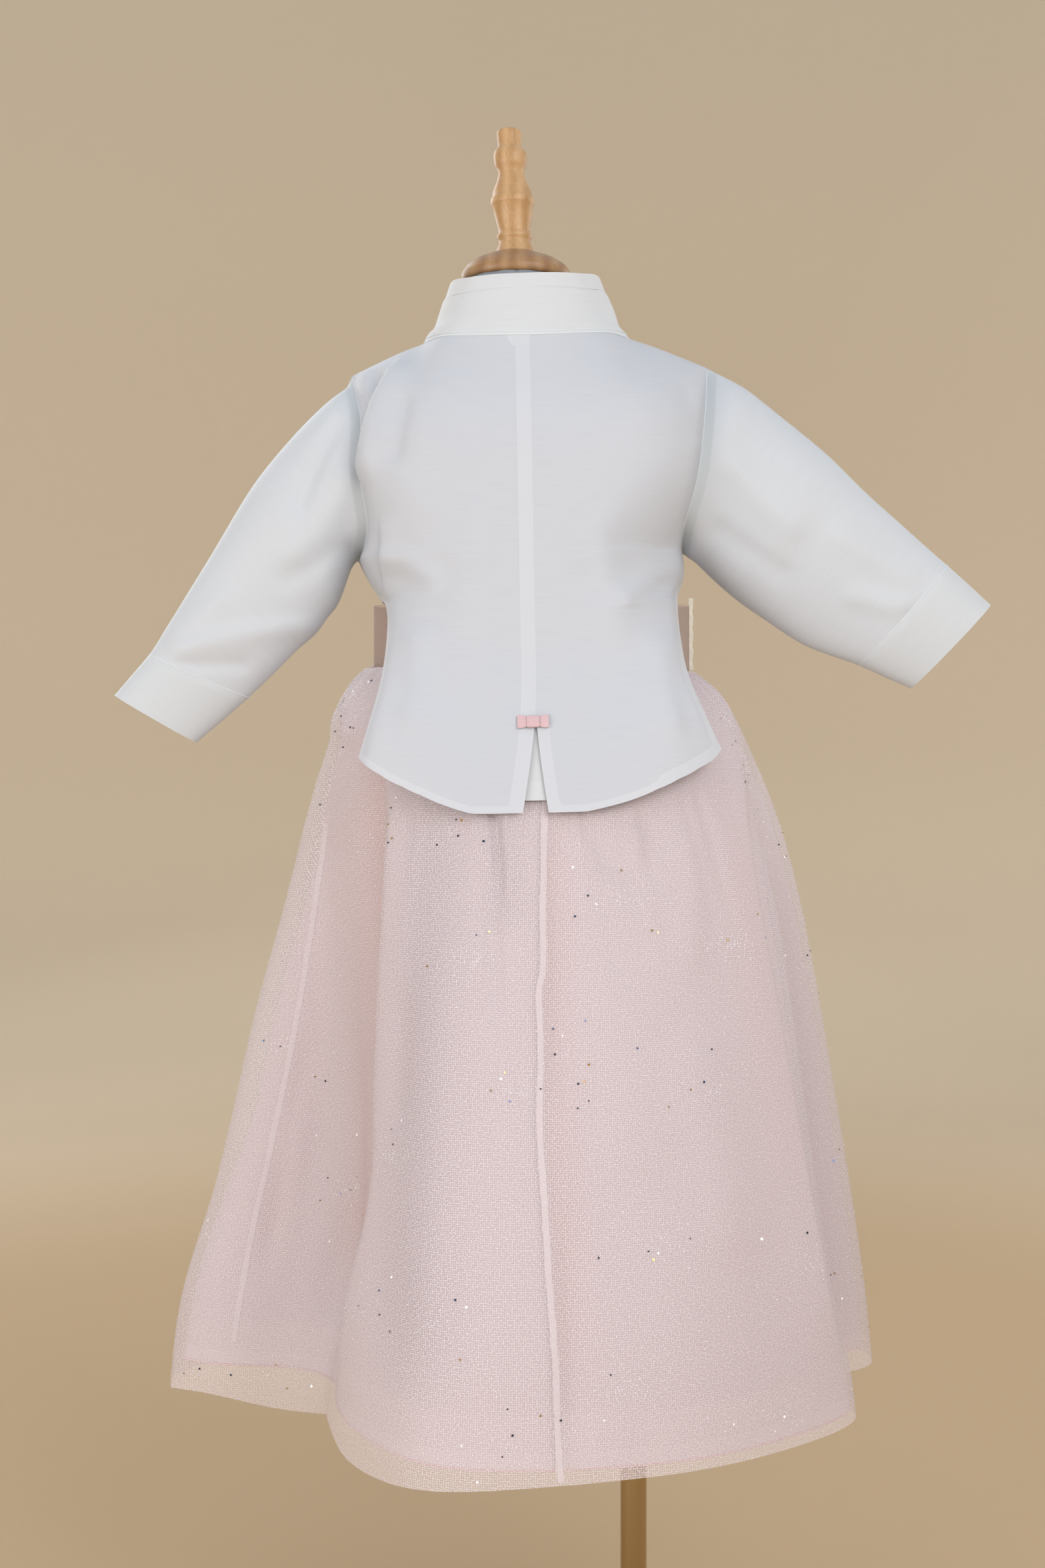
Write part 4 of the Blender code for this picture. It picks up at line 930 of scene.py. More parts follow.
SLEEVE_FOLDS_RIGHT = [Fold(*row) for row in [
    ([(-.0600, .9500), (-.0900, .9150), (-.1300, .8800)], .0022, .010, .012),
    ([(-.0500, .9000), (-.0850, .8750), (-.1250, .8500)], -.0020, .010, .008),
    ([(-.2350, .8350), (-.1950, .8330), (-.1500, .8450)], .0022, .008, .010),
    ([(-.1400, .8950), (-.1800, .8700), (-.2200, .8500)], .0014, .010, .012),
]]


# %% Backs and fronts
VENT_TOP = 0.7397
SLIT_TOP = 0.8450
NECK_LINE = 1.0500


def seam_x(height):
    """The middle seam leans a little with the whole garment."""
    return 0.0785 + (height - 0.785) * math.tan(math.radians(1.3))


# the hem runs straighter from the vent to its corners than the solids' does: x, and how far up
HEM_RISE = [(-.0530, 0), (-.0400, .0056), (-.0250, .0088), (-.0100, .0086), (.0150, .0044),
            (.0400, 0), (.1210, 0), (.1380, .0042), (.1560, .0082), (.1700, .0086),
            (.1860, .0056), (.2010, 0)]


def straightened(points):
    """The backs meet a little further right than the solids do, most of all near the collar, and
    their hem rises a little between the vent and the corners."""
    heights = points[:, 2]
    away = np.abs(points[:, 0] - seam_x(heights))
    shift = np.interp(heights, [0.68, 0.74, 0.785, 1.0], [0.0004, 0.0018, 0.0032, 0.0042])
    behind = points[:, 1] > 0
    moved = points.copy()
    moved[:, 0] -= shift * (1 - smooth_step(away / 0.045)) * behind
    rise = np.interp(points[:, 0], *zip(*HEM_RISE))
    moved[:, 2] += rise * smooth_step((0.790 - heights) / 0.080) * behind
    return moved


def at_middle(place):
    return abs(place.x - seam_x(place.z) + 0.003) < 0.006 and place.z < NECK_LINE


def hem_or_slit(place):
    return place.z < SLIT_TOP and not (at_middle(place) and place.z > VENT_TOP - 0.004)


def at_vent(place):
    return 0.6840 < place.z < VENT_TOP and abs(place.x - seam_x(place.z) + 0.003) < 0.018


def right_slit(place):
    return hem_or_slit(place) and place.x < 0.02 and place.z > 0.70


HEM_LESS = 0.0055           # how much narrower a hem's band is than a facing
left_back_bands = [(hem_or_slit, HEM_LESS), (at_middle, 0), (at_vent, 0)]
right_back_bands = [(hem_or_slit, HEM_LESS), (right_slit, 0.0022), (at_vent, 0.0020)]
front_bands = [(lambda place: place.z < SLIT_TOP, HEM_LESS)]


sewn_edges = {}


def sewn_part(place):
    """The seams of a body panel: all its edges but the hem and the slits."""
    return not hem_or_slit(place)


def everywhere(place):
    return True


Stitching = namedtuple("Stitching", "name chosen radius up", defaults=(0.0004, 0))


def stitch_line(mesh, line, slot):
    """A raised line along an open edge, or a distance up the cloth from it."""
    points = edge_line(mesh, line.chosen)
    if line.up:
        surface = surface_of(mesh)
        points = [surface.find_nearest(point + Vector((0, 0, line.up)))[0] for point in points]
    round_cord(line.name, points, line.radius, white_thread, slot)


def cloth_piece(name, node, wall, folds=((), ()), bands=(), middle=body_middle,
                finish=None, levels=3, thickness=ORGANZA, sewn_to=(), reach=0.003,
                across=(1, 0, 0), along=(0, 0, 1), slot="jacket_organza", sharper_than=140,
                held=everywhere, stitched=(), shape=None):
    """One cut piece: rounded, sewn to the pieces made before it, folded and finished.
    Each stitched line is the name of a seam, and which of the open edges it runs along."""
    mesh = rounded(outward_side(node, wall, middle), levels, sharper_than)
    if shape:
        write_points(mesh, shape(read_points(mesh)))
    line = [point for other in sewn_to for point in sewn_edges[other]]
    if line:
        print(name, "is sewn on at", sew(mesh, line, reach), "points")
    sewn_edges[name] = open_edge_points(mesh)
    note_distance(mesh, "edge", *[(edge_points(mesh, chosen), less) for chosen, less in bands])
    note_distance(mesh, "seam", (edge_points(mesh, held), 0))
    lift_cloth(mesh, *folds, held="seam")
    lay_flat(mesh, across, along)
    for line in stitched:
        stitch_line(mesh, line, slot)
    return finish_piece(name, mesh, thickness, finish or white_organza, slot, node)


both = (BACK_FOLDS, FRONT_FOLDS)
cloth_piece("jacket_back_left", "back_left", JACKET_WALL, both, left_back_bands,
            held=sewn_part, shape=straightened)
cloth_piece("jacket_back_right", "back_right", JACKET_WALL, both, right_back_bands,
            sewn_to=["jacket_back_left"], reach=0.0012, held=sewn_part, shape=straightened)
backs = ["jacket_back_left", "jacket_back_right"]
for word in ("left", "right"):
    cloth_piece("jacket_front_" + word, "front_" + word, JACKET_WALL, both, front_bands,
                sewn_to=backs, held=sewn_part)
panels = backs + ["jacket_front_left", "jacket_front_right"]


# %% Sleeves and cuffs
def near_body(left, right):
    return lambda place: right < place.x < left


def up_the_arm(shoulder, wrist, limit):
    """Whether a place is nearer the shoulder than the limit, along the arm."""
    start, way = Vector(shoulder), (Vector(wrist) - Vector(shoulder)).normalized()
    return lambda place: (place - start).dot(way) < limit


Arm = namedtuple("Arm", "word line middle folds armhole wrist across along")
ARMS = [
    Arm("left", LEFT_ARM, left_arm, SLEEVE_FOLDS_LEFT, near_body(.240, .1), .238,
        (.175, 0, .18), (.18, 0, -.175)),
    Arm("right", RIGHT_ARM, right_arm, SLEEVE_FOLDS_RIGHT, near_body(.1, -.085), .2285,
        (.14, 0, -.215), (-.215, 0, -.14))]
for arm in ARMS:
    cloth_piece("jacket_sleeve_" + arm.word, "sleeve_" + arm.word, JACKET_WALL,
                (arm.folds, arm.folds), [(arm.armhole, 0)], arm.middle, sleeve_organza,
                sewn_to=panels, across=arm.across, along=arm.along,
                stitched=[Stitching("armhole_stitching_" + arm.word, arm.armhole)])
for arm in ARMS:
    cuff_seam = up_the_arm(*arm.line, arm.wrist)
    cloth_piece("jacket_cuff_" + arm.word, "cuff_" + arm.word, CUFF_WALL, middle=arm.middle,
                finish=cuff_organza, sewn_to=["jacket_sleeve_" + arm.word], across=arm.across,
                along=arm.along, stitched=[Stitching("cuff_stitching_" + arm.word, cuff_seam)])

# %% The collar, its white strip and the underlap
collar = {"finish": collar_cloth, "slot": "collar_organza", "thickness": SATIN,
          "sharper_than": 95}


def lower_seam(place):
    """The edge that joins the collar to the back and shoulders."""
    return place.y > -0.074 and place.z < 1.0585 + 0.7645 * min(place.y, 0)


def arched(points):
    """The collar's upper part curves down towards its sides."""
    moved = points.copy()
    side = (points[:, 0] - BODY_X) / 0.055
    drop = np.where(side > 0, 0.0068, 0.0052) * side ** 2
    behind = smooth_step((points[:, 1] + 0.04) / 0.04)
    moved[:, 2] -= drop * behind * smooth_step((points[:, 2] - 1.038) / 0.022)
    return moved


cloth_piece("jacket_collar", "collar_band", COLLAR_WALL, **collar, shape=arched,
            sewn_to=panels, reach=0.006,
            stitched=[Stitching("collar_piping", lower_seam, 0.0007, 0.0005),
                      Stitching("collar_stitching", lower_seam, 0.0004, 0.0032)])
cloth_piece("jacket_collar_strip", "collar_edging", 0.0012, shape=arched,
            **{**collar, "finish": strip_cloth})
cloth_piece("jacket_underlap", "vent_underlap", 0.0010, levels=2, **collar)

# %% [markdown]
# ## Ribbons
#
# The jacket ties in front with two satin ribbons in a single bow, and a flat bow of the same ribbon
# marks the top of the vent. Satin is folded, not cut in round pieces, so these keep the solids'
# folds and are only rounded.

# %% Ribbon pieces
ribbon = {"finish": satin_pink, "slot": "ribbon", "levels": 2, "thickness": SATIN}
for node in ("ribbon_tail_long", "ribbon_tail_short", "ribbon_loop", "vent_bow"):
    cloth_piece("satin_" + node, node, RIBBON_WALL, **ribbon)
for node in ("ribbon_knot", "vent_bow_knot"):
    rounded_solid("satin_" + node, node, satin_pink, "ribbon", 2)

# %% [markdown]
# ## The bodice and the straps
#
# The skirt hangs from a plain bodice with two straps, which is all that holds it up. It shows at the
# jacket's side slits and faintly through the back.

# %% Bodice and straps
cloth_piece("skirt_bodice", "bodice", BODICE_WALL, finish=bodice_cloth, slot="bodice_cloth")
for word in ("left", "right"):
    cloth_piece("skirt_strap_" + word, "strap_" + word, BODICE_WALL, finish=strap_cloth,
                slot="bodice_cloth", levels=2, thickness=SATIN)

# %% [markdown]
# The bodice closes at the wearer's right, where its two layers are overcast together. That leaves a
# narrow cream fin that stands out from the side and waves a little.

# %% The overcast fin of the bodice
def side_fin(name, node, tops, out, finish, slot):
    """A narrow strip that stands out from the side of a solid, from one height to another."""
    side = BVHTree.FromPolygons([vertex.co for vertex in solids[node].data.vertices],
                                [face.vertices for face in solids[node].data.polygons])
    rows = 56
    strip = bmesh.new()
    bmesh.ops.create_grid(strip, x_segments=3, y_segments=rows, size=0.5)
    for corner in strip.verts:
        share, sideways = corner.co.y + 0.5, corner.co.x + 0.5
        height = tops[0] + (tops[1] - tops[0]) * share
        wave = 0.0004 * math.sin(share * 27) + 0.0002 * math.sin(share * 53 + 1)
        start = side.find_nearest(Vector((-0.06, 0.004, height)))[0]
        start.z = height
        corner.co = start + Vector((0.0008 - (out + wave) * sideways, wave * sideways, 0))
    mesh = mesh_of(strip, name)
    lay_flat(mesh)
    return finish_piece(name, mesh, 0.0006, finish, slot)


side_fin("bodice_fin", "bodice", (0.842, 0.787), 0.0032, cream_thread, "bodice_cloth")

# %% [markdown]
# ## The skirt
#
# Three layers are gathered together into the bodice. Stiff organza and net hold the gathers out, so
# they stand as sharp little ridges at the waist and fade as the cloth flares. The ridges are seeded,
# so each has its own height, width and length, and all the layers share them.

# %% Gathers at the waist
SKIRT_X = 0.078
WAIST = 0.785
random.seed(11)
Gather = namedtuple("Gather", "turn half height fade bend")
gathers = []
turn = 0.0
while turn < 2 * math.pi:
    turn += random.uniform(0.055, 0.125)
    gathers.append(Gather(turn, random.uniform(0.016, 0.032), random.uniform(0.0006, 0.0026),
                          random.uniform(0.035, 0.150), random.uniform(-0.25, 0.25)))


def gather_lift(mesh):
    points, normals = read_points(mesh), read_normals(mesh)
    turns = np.arctan2(points[:, 0] - SKIRT_X, points[:, 1])
    down = WAIST - points[:, 2]
    lift = np.zeros(len(points))
    for gather in gathers:
        away = turns - gather.turn - gather.bend * down
        away = (away + math.pi) % (2 * math.pi) - math.pi
        start = smooth_step(down / 0.010 + 0.2)
        lift += (gather.height * start * np.exp(-(away / gather.half) ** 2)
                 * np.exp(-(down / gather.fade) ** 2))
    write_points(mesh, points + normals * lift[:, None])
    return float(lift.max())


# %% [markdown]
# Lower down the skirt has a few large folds. The middle panel stands out over the sides, so it ends
# in a rounded edge with a shaded trough beside it, and smaller creases run down from the waist. All
# three layers take the same folds, because they hang together. The deepest ones would carry an inner
# layer through the one over it, so each inner layer is tucked in again.

# %% Folds of the skirt
SKIRT_BACK = [Fold(*row) for row in [
    # the left edge of the middle panel, and the trough beside it
    ([(.1770, .7300), (.1780, .6885), (.1796, .6429), (.1825, .5684), (.1843, .4956),
      (.1830, .4357), (.1880, .4000), (.1985, .3600), (.2080, .3093), (.2110, .2500)],
     .0050, .004, .026),
    ([(.1900, .7300), (.1905, .6885), (.1925, .6429), (.1955, .5684), (.1980, .4956),
      (.1985, .4357), (.2040, .4000), (.2140, .3600), (.2230, .3093), (.2290, .2500)],
     -.0110, .014, .007),
    # its right edge, softer
    ([(-.0730, .7400), (-.0752, .6687), (-.0790, .6292), (-.0890, .5682), (-.1070, .4552),
      (-.1222, .3615), (-.1400, .2700)], .0040, .024, .005),
    ([(-.0850, .7400), (-.0872, .6687), (-.0915, .6292), (-.1015, .5682), (-.1200, .4552),
      (-.1350, .3615), (-.1530, .2700)], -.0075, .007, .014),
    # the short pressed pleat under the jacket, and the shade that it leaves
    ([(.1056, .7000), (.1050, .6791), (.1026, .6519), (.1000, .6150)], -.0042, .003, .005),
    ([(.0985, .7000), (.0980, .6700), (.0962, .6450), (.0950, .6150)], .0022, .004, .006),
    ([(.1085, .6500), (.1050, .6100), (.1035, .5750), (.1010, .5350)], -.0034, .008, .005),
    # the seam's own furrow, beside its allowance
    ([(.0610, .7000), (.0615, .6300), (.0600, .5600), (.0625, .4700)], -.0024, .008, .010),
    ([(.0560, .4200), (.0540, .3600), (.0500, .2700)], -.0020, .008, .012),
    # soft pulls from the waist towards the right
    ([(.0480, .6850), (.0270, .6500), (.0020, .6300)], -.0020, .008, .006),
    ([(.0100, .6900), (-.0080, .6600), (.0080, .6150)], -.0016, .008, .008),
    ([(-.0300, .6800), (-.0350, .6200), (-.0300, .5600)], .0018, .014, .010),
    ([(.0300, .5800), (.0150, .5000), (.0120, .4300)], .0020, .022, .030),
    ([(-.0250, .5400), (-.0500, .4600), (-.0620, .3700)], .0026, .020, .026),
    ([(.1350, .6200), (.1420, .5200), (.1440, .4200), (.1500, .3200)], .0030, .022, .018),
    ([(.1650, .5600), (.1680, .4600)], -.0016, .010, .008),
    # the flare at the left
    ([(.2230, .6700), (.2400, .5800), (.2560, .4800), (.2700, .3800)], .0034, .012, .016),
    ([(.2450, .5200), (.2650, .4200), (.2800, .3200)], -.0030, .010, .008),
]]
SKIRT_FRONT = [Fold(*row) for row in [
    ([(.1750, .7200), (.1830, .6300), (.1950, .5200), (.2100, .3900), (.2200, .2700)],
     .0045, .006, .024),
    ([(.1880, .7200), (.1970, .6300), (.2100, .5200), (.2270, .3900)], -.0090, .014, .008),
    ([(.1050, .7400), (.1080, .6500), (.1150, .5400)], -.0050, .006, .010),
    ([(.0250, .7300), (.0180, .6300), (.0100, .5000)], -.0060, .010, .006),
    ([(-.0600, .7300), (-.0720, .6400), (-.0900, .5200), (-.1080, .3900)], .0040, .020, .006),
    ([(.0650, .5600), (.0600, .4600), (.0620, .3600)], .0030, .024, .018),
    ([(.1400, .6000), (.1500, .4800), (.1520, .3700)], .0034, .020, .024),
]]
# where layers lie over each other the pink is deeper, at the seam and on the flare; beside the left
# edge the salmon is painted shade, the shade of the trough
SKIRT_TINT_AND_SHADE = [Fold(*row) for row in [
    ([(.1880, .7600), (.1890, .6885), (.1905, .6429), (.1935, .5684), (.1955, .4956),
      (.1960, .4357), (.2010, .4000), (.2110, .3600), (.2200, .3000)], .95, .016, .005),
    ([(.0690, .7100), (.0680, .6189), (.0690, .5209), (.0650, .4338), (.0600, .3525),
      (.0570, .2700)], .50, .004, .018),
    ([(.2080, .7600), (.2250, .6500), (.2450, .5300), (.2650, .4200), (.2850, .2800)],
     .27, .030, .030),
    ([(-.0560, .7300), (-.0700, .6400), (-.0900, .5200), (-.1150, .4000)], .18, .020, .020),
]]
# painted shade: the colour is greyer on the middle panel's left part and beside the short pleat
SKIRT_PAINTED_SHADE = [Fold(*row) for row in [
    ([(.1500, .7300), (.1530, .6200), (.1580, .4800), (.1640, .2600)], .75, .018, .030),
    ([(.1020, .7200), (.1000, .6500), (.0960, .5900)], .40, .012, .016),
]]
# the left puff rises over the waist, and the net stands off from the organza at the left
PUFF = Fold([(.1800, .8100), (.2050, .7800), (.2300, .7300)], .0045, .028, .024)
NET_FLARE = Fold([(.2150, .7300), (.2500, .6200), (.2750, .5100), (.3150, .3600)], .0034, .024,
                 .024)
INNER_FLARE = Fold([(.2250, .6900), (.2450, .6200), (.2700, .5100), (.3000, .3900)], -.0040,
                   .024, .024)
print("skirt folds:", len(SKIRT_BACK), "behind and", len(SKIRT_FRONT), "in front")


# %% The three layers
def skirt_middle(place):
    return Vector((SKIRT_X, 0, place.z))


def note_depth(mesh, name, marks):
    """Notes how near each point is to the marked paths behind, from 0 to 1."""
    points = read_points(mesh)
    depth = fold_lift(points[:, 0], points[:, 2], marks) * (points[:, 1] > 0)
    noted = mesh.attributes.new(name, "FLOAT", "POINT")
    noted.data.foreach_set("value", np.clip(depth, 0, 1).astype(np.float32))


def skirt_sheet(node, levels, sewn_to=None, own_folds=()):
    """One layer or panel, rounded, gathered at the waist and folded."""
    mesh = rounded(outward_side(node, SKIRT_WALL, skirt_middle), levels)
    if sewn_to:
        sew(mesh, sewn_to, 0.001)
    seam = open_edge_points(mesh, 0.0003)
    note_distance(mesh, "edge", (edge_points(mesh, lambda place: place.z < 0.33), 0))
    highest = gather_lift(mesh)
    # painted shade in the trough, and the deeper pink where layers overlap
    note_depth(mesh, "layer_tint_and_shade", SKIRT_TINT_AND_SHADE)
    # painted shade: a greyer colour on the panel's left part and by the short pleat
    note_depth(mesh, "painted_shade", SKIRT_PAINTED_SHADE)
    deepest = lift_cloth(mesh, SKIRT_BACK + list(own_folds), SKIRT_FRONT + list(own_folds))
    lay_round(mesh, SKIRT_X)
    print(node, "gathers up to", round(highest * 1000, 1), "mm, folds up to",
          round(deepest * 1000, 1), "mm")
    return mesh, seam


def hem_of(mesh):
    return edge_line(mesh, lambda place: place.z < 0.5)


def tuck(mesh, over, gap=0.0006):
    """Moves a layer inside the layer over it, wherever the folds carried it through."""
    moved = 0
    for vertex in mesh.vertices:
        near, out, _, _ = over.find_nearest(vertex.co, 0.03)
        past = gap + (vertex.co - near).dot(out) if near else 0
        if past > 0:
            vertex.co -= out * past
            moved += 1
    mesh.update()
    print("tucked in:", moved, "of", len(mesh.vertices), "points")


net, _ = skirt_sheet("skirt_tulle", 3, own_folds=[PUFF, NET_FLARE])
net_surface = surface_of(net)
organza, _ = skirt_sheet("skirt_organza", 3, own_folds=[PUFF, INNER_FLARE])
tuck(organza, net_surface)
organza_surface = surface_of(organza)
organza_hem = hem_of(organza)
left_lining, middle_seam = skirt_sheet("skirt_lining_left", 3, own_folds=[INNER_FLARE])
right_lining, _ = skirt_sheet("skirt_lining_right", 3, middle_seam)
tuck(left_lining, organza_surface)
tuck(right_lining, organza_surface)
finish_piece("skirt_lining_left_panel", left_lining, ORGANZA, lining_cloth, "lining_cloth",
             "skirt_lining_left")
finish_piece("skirt_lining_right_panel", right_lining, ORGANZA, lining_cloth, "lining_cloth",
             "skirt_lining_right")
finish_piece("skirt_organza_layer", organza, ORGANZA, pink_organza, "skirt_organza",
             "skirt_organza")
finish_piece("skirt_net_layer", net, NET, glitter_net, "glitter_net", "skirt_tulle")

# %% [markdown]
# ## Hems and seam allowances of the skirt
#
# The organza has a rolled hem: its edge is rolled tightly and overcast, which makes a thin pink cord.
# The net's edge is raw. Its one seam runs down the back, and the overcast allowance shows through it
# as a narrow band that wanders and turns over a little.

# %% Rolled hem and seam bands
def smooth_line(points, count):
    """Evenly spaced points on a smooth curve through a few."""
    steps = np.linspace(0, len(points) - 1, count)
    knots = [points[0]] + list(points) + [points[-1]]
    line = []
    for step in steps:
        i = min(int(step), len(points) - 2)
        t = step - i
        a, b, c, d = (np.array(knots[i + k], float) for k in range(4))
        line.append(0.5 * (2 * b + (c - a) * t + (2 * a - 5 * b + 4 * c - d) * t * t
                           + (3 * b - a - 3 * c + d) * t ** 3))
    return line


def seam_band(name, surface, path, width, depth, finish, slot, seed, turn_over=0.2):
    """A narrow strip that follows a surface from behind, with a wandering edge and a slight twist."""
    wander = random.Random(seed)
    rows = 150
    across = 5
    places = smooth_line(path, rows)
    waves = [(wander.uniform(0.5, 3.0), wander.uniform(0, 6.3), wander.uniform(0.3, 1.0))
             for _ in range(5)]
    strip = bmesh.new()
    bmesh.ops.create_grid(strip, x_segments=across - 1, y_segments=rows - 1, size=0.5)
    strip.verts.ensure_lookup_table()
    for corner in strip.verts:
        share = corner.co.y + 0.5
        row = min(rows - 1, round(share * (rows - 1)))
        x, z = places[row]
        sway = sum(size * math.sin(rate * row / 6 + start) for rate, start, size in waves) / 5
        sideways = corner.co.x * width * (1 + 0.25 * sway) + 0.0006 * sway
        spot, out = surface.ray_cast(Vector((x + sideways, 1.2, z)), Vector((0, -1, 0)))[:2]
        if spot is None:
            spot, out = surface.find_nearest(Vector((x + sideways, 0.05, z)))[:2]
        lifted = depth + corner.co.x * width * turn_over * sway
        corner.co = spot - out * lifted
    bmesh.ops.recalc_face_normals(strip, faces=strip.faces)
    if sum(face.normal.y for face in strip.faces) < 0:
        bmesh.ops.reverse_faces(strip, faces=strip.faces)
    mesh = mesh_of(strip, name)
    lay_flat(mesh)
    return finish_piece(name, mesh, 0.0002, finish, slot)


round_cord("rolled_hem", organza_hem[:-1], 0.0009, rolled_pink, "skirt_organza", closed=True)
NET_SEAM = [(.0697, .6900), (.0697, .6712), (.0708, .6189), (.0709, .5748), (.0737, .5595),
            (.0729, .5209), (.0735, .4683), (.0710, .4338), (.0681, .3826), (.0656, .3525),
            (.0632, .3161), (.0625, .2827), (.0605, .2560)]
seam_band("net_seam", net_surface, NET_SEAM, 0.0042, 0.0004, serged_thread, "glitter_net", 3)
SIDE_SEAM = [(.2340, .6700), (.2365, .6499), (.2535, .5363), (.2750, .4283), (.2895, .3613),
             (.3035, .2787)]
seam_band("side_seam", organza_surface, SIDE_SEAM, 0.0042, -0.0005, serged_thread,
          "skirt_organza", 8, turn_over=0.05)

# %% [markdown]
# ## Glitter
#
# The net carries sprays of glitter and a few larger sequins, scattered like pollen. Each dot is a
# small flat hexagon, tilted a little, so that it catches the light by itself. The sprays behind have
# set places and the rest are seeded round the skirt, none too near another.

# %% Sprays of glitter
Spray = namedtuple("Spray", "turn height")
SPRAYS = [Spray(*row) for row in [
    (0.92, .668), (0.44, .669), (0.24, .579), (-0.40, .620), (-0.87, .587), (-1.62, .559),
    (-0.13, .518), (0.04, .493), (1.44, .504), (0.54, .446), (1.19, .402), (-0.67, .490),
    (-0.40, .400), (-0.92, .367), (-1.64, .318), (1.52, .359), (0.68, .339), (0.29, .349),
    (-0.24, .310), (0.07, .276), (1.42, .257), (-0.73, .281), (1.36, .765), (1.46, .742),
    (1.30, .740), (1.52, .700), (-1.28, .748), (-1.36, .712), (-1.48, .660)]]


def on_net(turn, height):
    """A place on the net and its outward direction there, or nothing past its edge."""
    outward = Vector((math.sin(turn), math.cos(turn), 0))
    start = Vector((SKIRT_X, 0, height)) + outward * 0.6
    place, normal, _, _ = net_surface.ray_cast(start, -outward)
    if place is None:
        return None, None
    return place, normal if normal.dot(outward) > 0 else -normal


RADIAN = 0.16               # the net's width to a radian round the skirt, about halfway down
HEXAGON = [Vector((math.cos(i * math.pi / 3), math.sin(i * math.pi / 3), 0)) for i in range(6)]


def add_dot(sheet, place, normal, radius, luck):
    """One flat hexagon, tilted by chance."""
    tilt = Vector([luck.uniform(-0.45, 0.45) for _ in range(3)])
    facing = (normal + tilt).normalized()
    turned_to = facing.to_track_quat("Z", "Y").to_matrix().to_4x4()
    put = Matrix.Translation(place + normal * 0.0005) @ turned_to
    sheet.faces.new([sheet.verts.new(put @ (corner * radius)) for corner in HEXAGON])


def make_glitter():
    luck = random.Random(29)
    sprays = list(SPRAYS)
    for _ in range(600):
        spot = Spray(luck.uniform(1.7, 4.6), luck.uniform(0.27, 0.72))
        if all(abs(spot.turn - other.turn) * RADIAN > 0.045
               or abs(spot.height - other.height) > 0.05 for other in sprays):
            sprays.append(spot)
    dust, sequins = bmesh.new(), {"white": bmesh.new(), "blue": bmesh.new(), "gold": bmesh.new()}
    for spray in sprays:
        lean, long = luck.uniform(-0.8, 0.8), luck.uniform(0.015, 0.030)
        for _ in range(luck.randint(70, 120)):
            away = abs(luck.gauss(0, 1)) * long
            way = luck.uniform(0, 2 * math.pi)
            sideways, upward = away * math.cos(way), 0.55 * away * math.sin(way)
            dx = sideways * math.cos(lean) - upward * math.sin(lean)
            dz = sideways * math.sin(lean) + upward * math.cos(lean)
            place, normal = on_net(spray.turn + dx / RADIAN, spray.height + dz)
            if place is not None:
                add_dot(dust, place, normal, luck.uniform(0.00016, 0.00036), luck)
        for _ in range(luck.randint(3, 8)):
            dx, dz = luck.gauss(0, 0.018), luck.gauss(0, 0.013)
            place, normal = on_net(spray.turn + dx / RADIAN, spray.height + dz)
            if place is not None:
                kind = luck.choice(["white", "blue", "blue", "gold"])
                add_dot(sequins[kind], place, normal, luck.uniform(0.0006, 0.0010), luck)
    for _ in range(1500):
        place, normal = on_net(luck.uniform(-math.pi, math.pi), luck.uniform(0.25, 0.77))
        if place is not None:
            add_dot(dust, place, normal, luck.uniform(0.00014, 0.00028), luck)
    print(len(sprays), "sprays,", len(dust.faces), "grains")
    return dust, sequins


def foil(name, colour, metallic, roughness, sparkle=0.0):
    """A shiny grain. Sparkle stands for the light that a tiny facet throws back."""
    made, tree, shader = new_finish(name)
    made.cycles.emission_sampling = "NONE"
    fill(tree, shader, {"Base Color": colour, "Metallic": metallic, "Roughness": roughness,
                        "Emission Color": colour, "Emission Strength": sparkle})
    return made


foils = {"dust": foil("glitter dust", seen(252, 252, 255), 0.0, 0.3, 0.10),
         "white": foil("white sequins", seen(255, 255, 255), 0.2, 0.2, 0.3),
         "blue": foil("blue sequins", seen(74, 88, 120), 0.9, 0.15),
         "gold": foil("gold sequins", seen(204, 170, 110), 0.9, 0.15)}
dust, sequins = make_glitter()
for name, dots in [("dust", dust)] + list(sequins.items()):
    mesh = mesh_of(dots, "glitter_" + name)
    finish_piece("glitter_" + name, mesh, 0, foils[name], "glitter_net")
    mesh.shade_flat()

# %% [markdown]
# ## The cut of each sheet
#
# Each piece of cloth was cut flat before it was sewn. The record of a cut holds its piece, width,
# length, area, what holds it, what it rests on and its parts: the width and length of the rectangle
# that its pattern fits in, all round for a tube, and the pattern's own area. The skirt's layers are
# wider than they hang, because they are gathered. Only the record is set up here, and no cut is
# listed.

# %% The record of a flat cut
Cut = namedtuple("Cut", "piece width length area held rests_on parts")

# %% [markdown]
# ## Floor, light and camera
#
# A plain pale room: one bowl is both floor and wall, so there is no line behind the object. Large
# soft lights stand at both sides of the back, with a weaker one between them to lift the skirt, and
# two more light the front, so that the part shows well from all round.

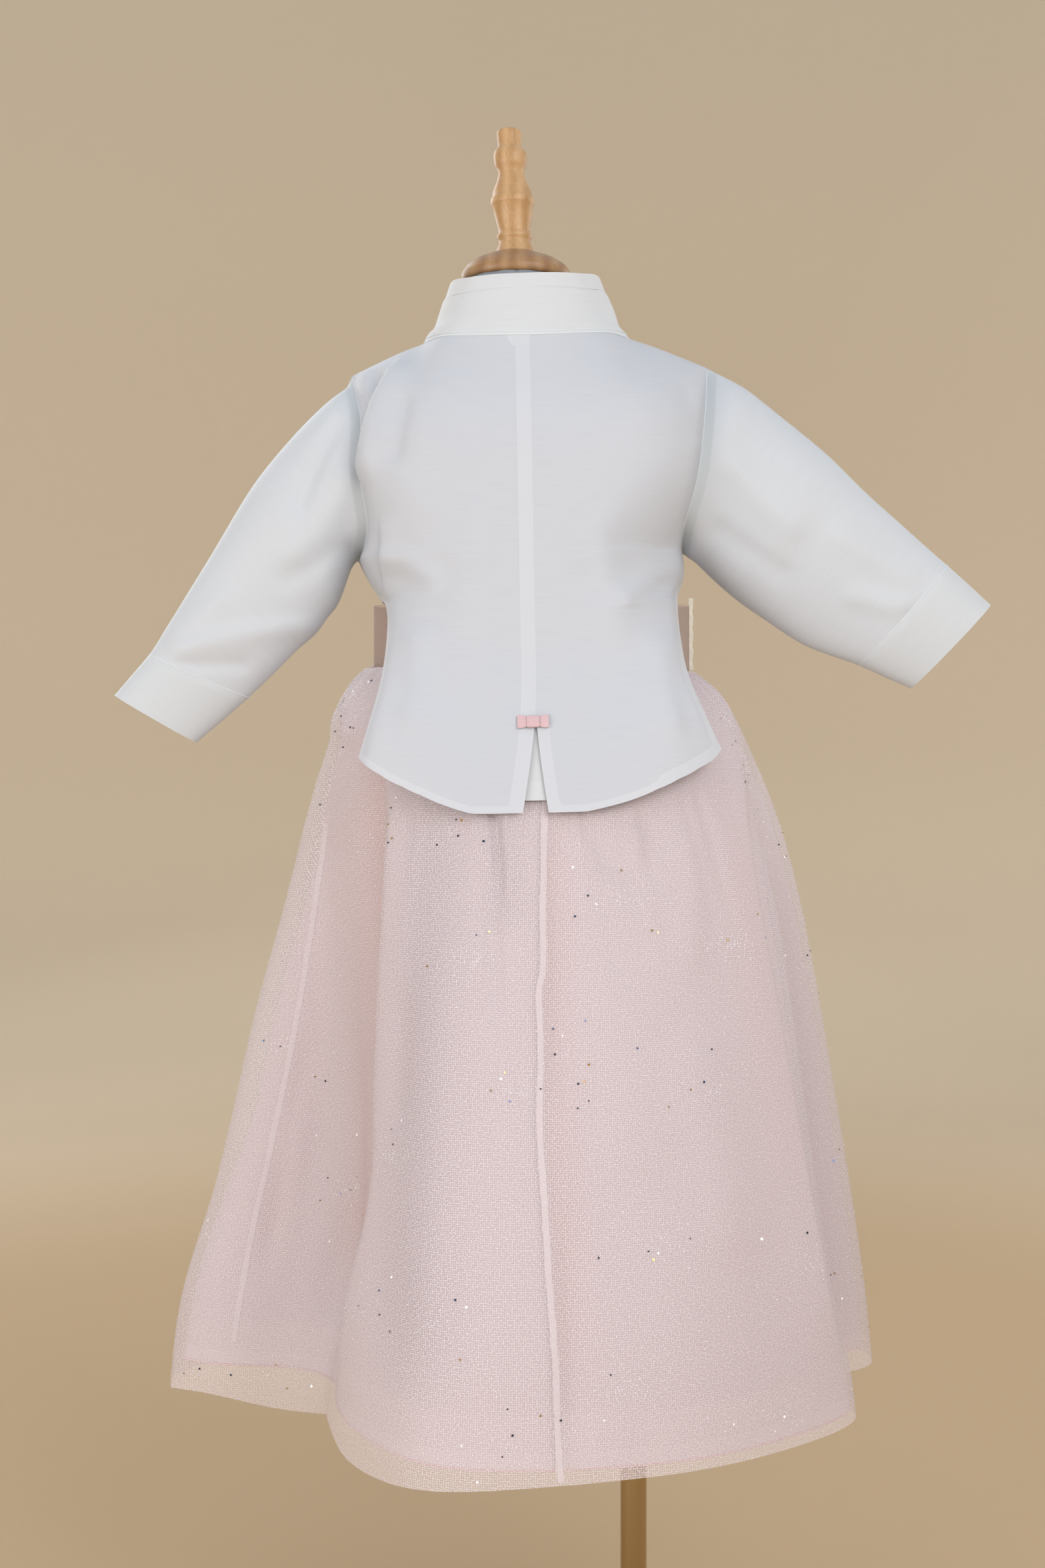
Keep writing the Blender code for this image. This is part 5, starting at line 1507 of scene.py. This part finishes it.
# %% The room
def make_room():
    bowl = spun([Vector(place) for place in [
        (0.001, 0, 0), (2.6, 0, 0), (3.0, 0, 0.08), (3.35, 0, 0.35), (3.55, 0, 0.80),
        (3.60, 0, 1.40), (3.60, 0, 3.50)]], 96)
    bmesh.ops.recalc_face_normals(bowl, faces=bowl.faces)
    mesh = mesh_of(bowl, "room")
    for face in mesh.polygons:
        if face.center.z < 0.01 and face.normal.z < 0:
            mesh.flip_normals()
            break
    mesh.shade_smooth()
    paint, tree, shader = new_finish("room paint")
    place = add_node(tree, "ShaderNodeTexCoord", {}, {}).outputs["Object"]
    away = add_node(tree, "ShaderNodeVectorMath", {"operation": "LENGTH"}, {0: place})
    # painted light: the wall away from the object is painted paler than the floor round it, to make
    # up for the less light that reaches the wall
    painted_wall_light = maths(tree, "SUBTRACT", 1.0, step_down(tree, away.outputs["Value"], 1.2, 3.2))
    fill(tree, shader, {"Roughness": 0.9, "Base Color": blend(
        tree, painted_wall_light, seen(195, 168, 134), seen(234, 216, 190))})
    mesh.materials.append(paint)
    room = new_object("room", mesh)
    return room


def soft_light(name, place, target, size, power, colour=(1, 1, 1)):
    lamp = bpy.data.lights.new(name, "AREA")
    lamp.size = size
    lamp.energy = power
    lamp.color = colour
    made = new_object(name, lamp)
    made.location = place
    made.rotation_euler = (Vector(target) - Vector(place)).to_track_quat("-Z", "Y").to_euler()
    made.visible_camera = False
    return made


make_room()
CHEST = (0.08, 0.0, 0.75)
soft_light("key", (-1.3, 2.0, 1.7), CHEST, 1.4, 25, (0.92, 0.955, 1.0))
soft_light("fill", (2.0, 1.5, 0.7), (0.1, 0.0, 0.4), 1.4, 21, (0.92, 0.955, 1.0))
soft_light("low fill", (0.0, 2.3, 0.95), (0.08, 0.0, 0.6), 1.6, 10.5, (0.92, 0.955, 1.0))
soft_light("front key", (1.5, -1.8, 1.9), CHEST, 1.5, 20, (0.94, 0.97, 1.0))
soft_light("front fill", (-1.8, -1.3, 1.3), CHEST, 1.5, 11, (0.94, 0.97, 1.0))

world = bpy.data.worlds.new("pale sky")
world.use_nodes = True
sky = world.node_tree.nodes["Background"]
sky.inputs[0].default_value = (0.83, 0.91, 1.0, 1.0)
sky.inputs[1].default_value = 0.66
scene = bpy.context.scene
scene.world = world
scene.view_settings.view_transform = "Standard"
scene.cycles.transparent_max_bounces = 8
scene.cycles.max_bounces = 3
scene.cycles.diffuse_bounces = 2

camera = bpy.data.cameras.new("camera")
camera.lens = 43.5
camera.sensor_width = 36
camera_stand = new_object("camera", camera)
camera_stand.location = (0.085, 1.45, 0.70)
camera_stand.rotation_euler = (math.radians(90), 0, math.radians(180))
scene.camera = camera_stand
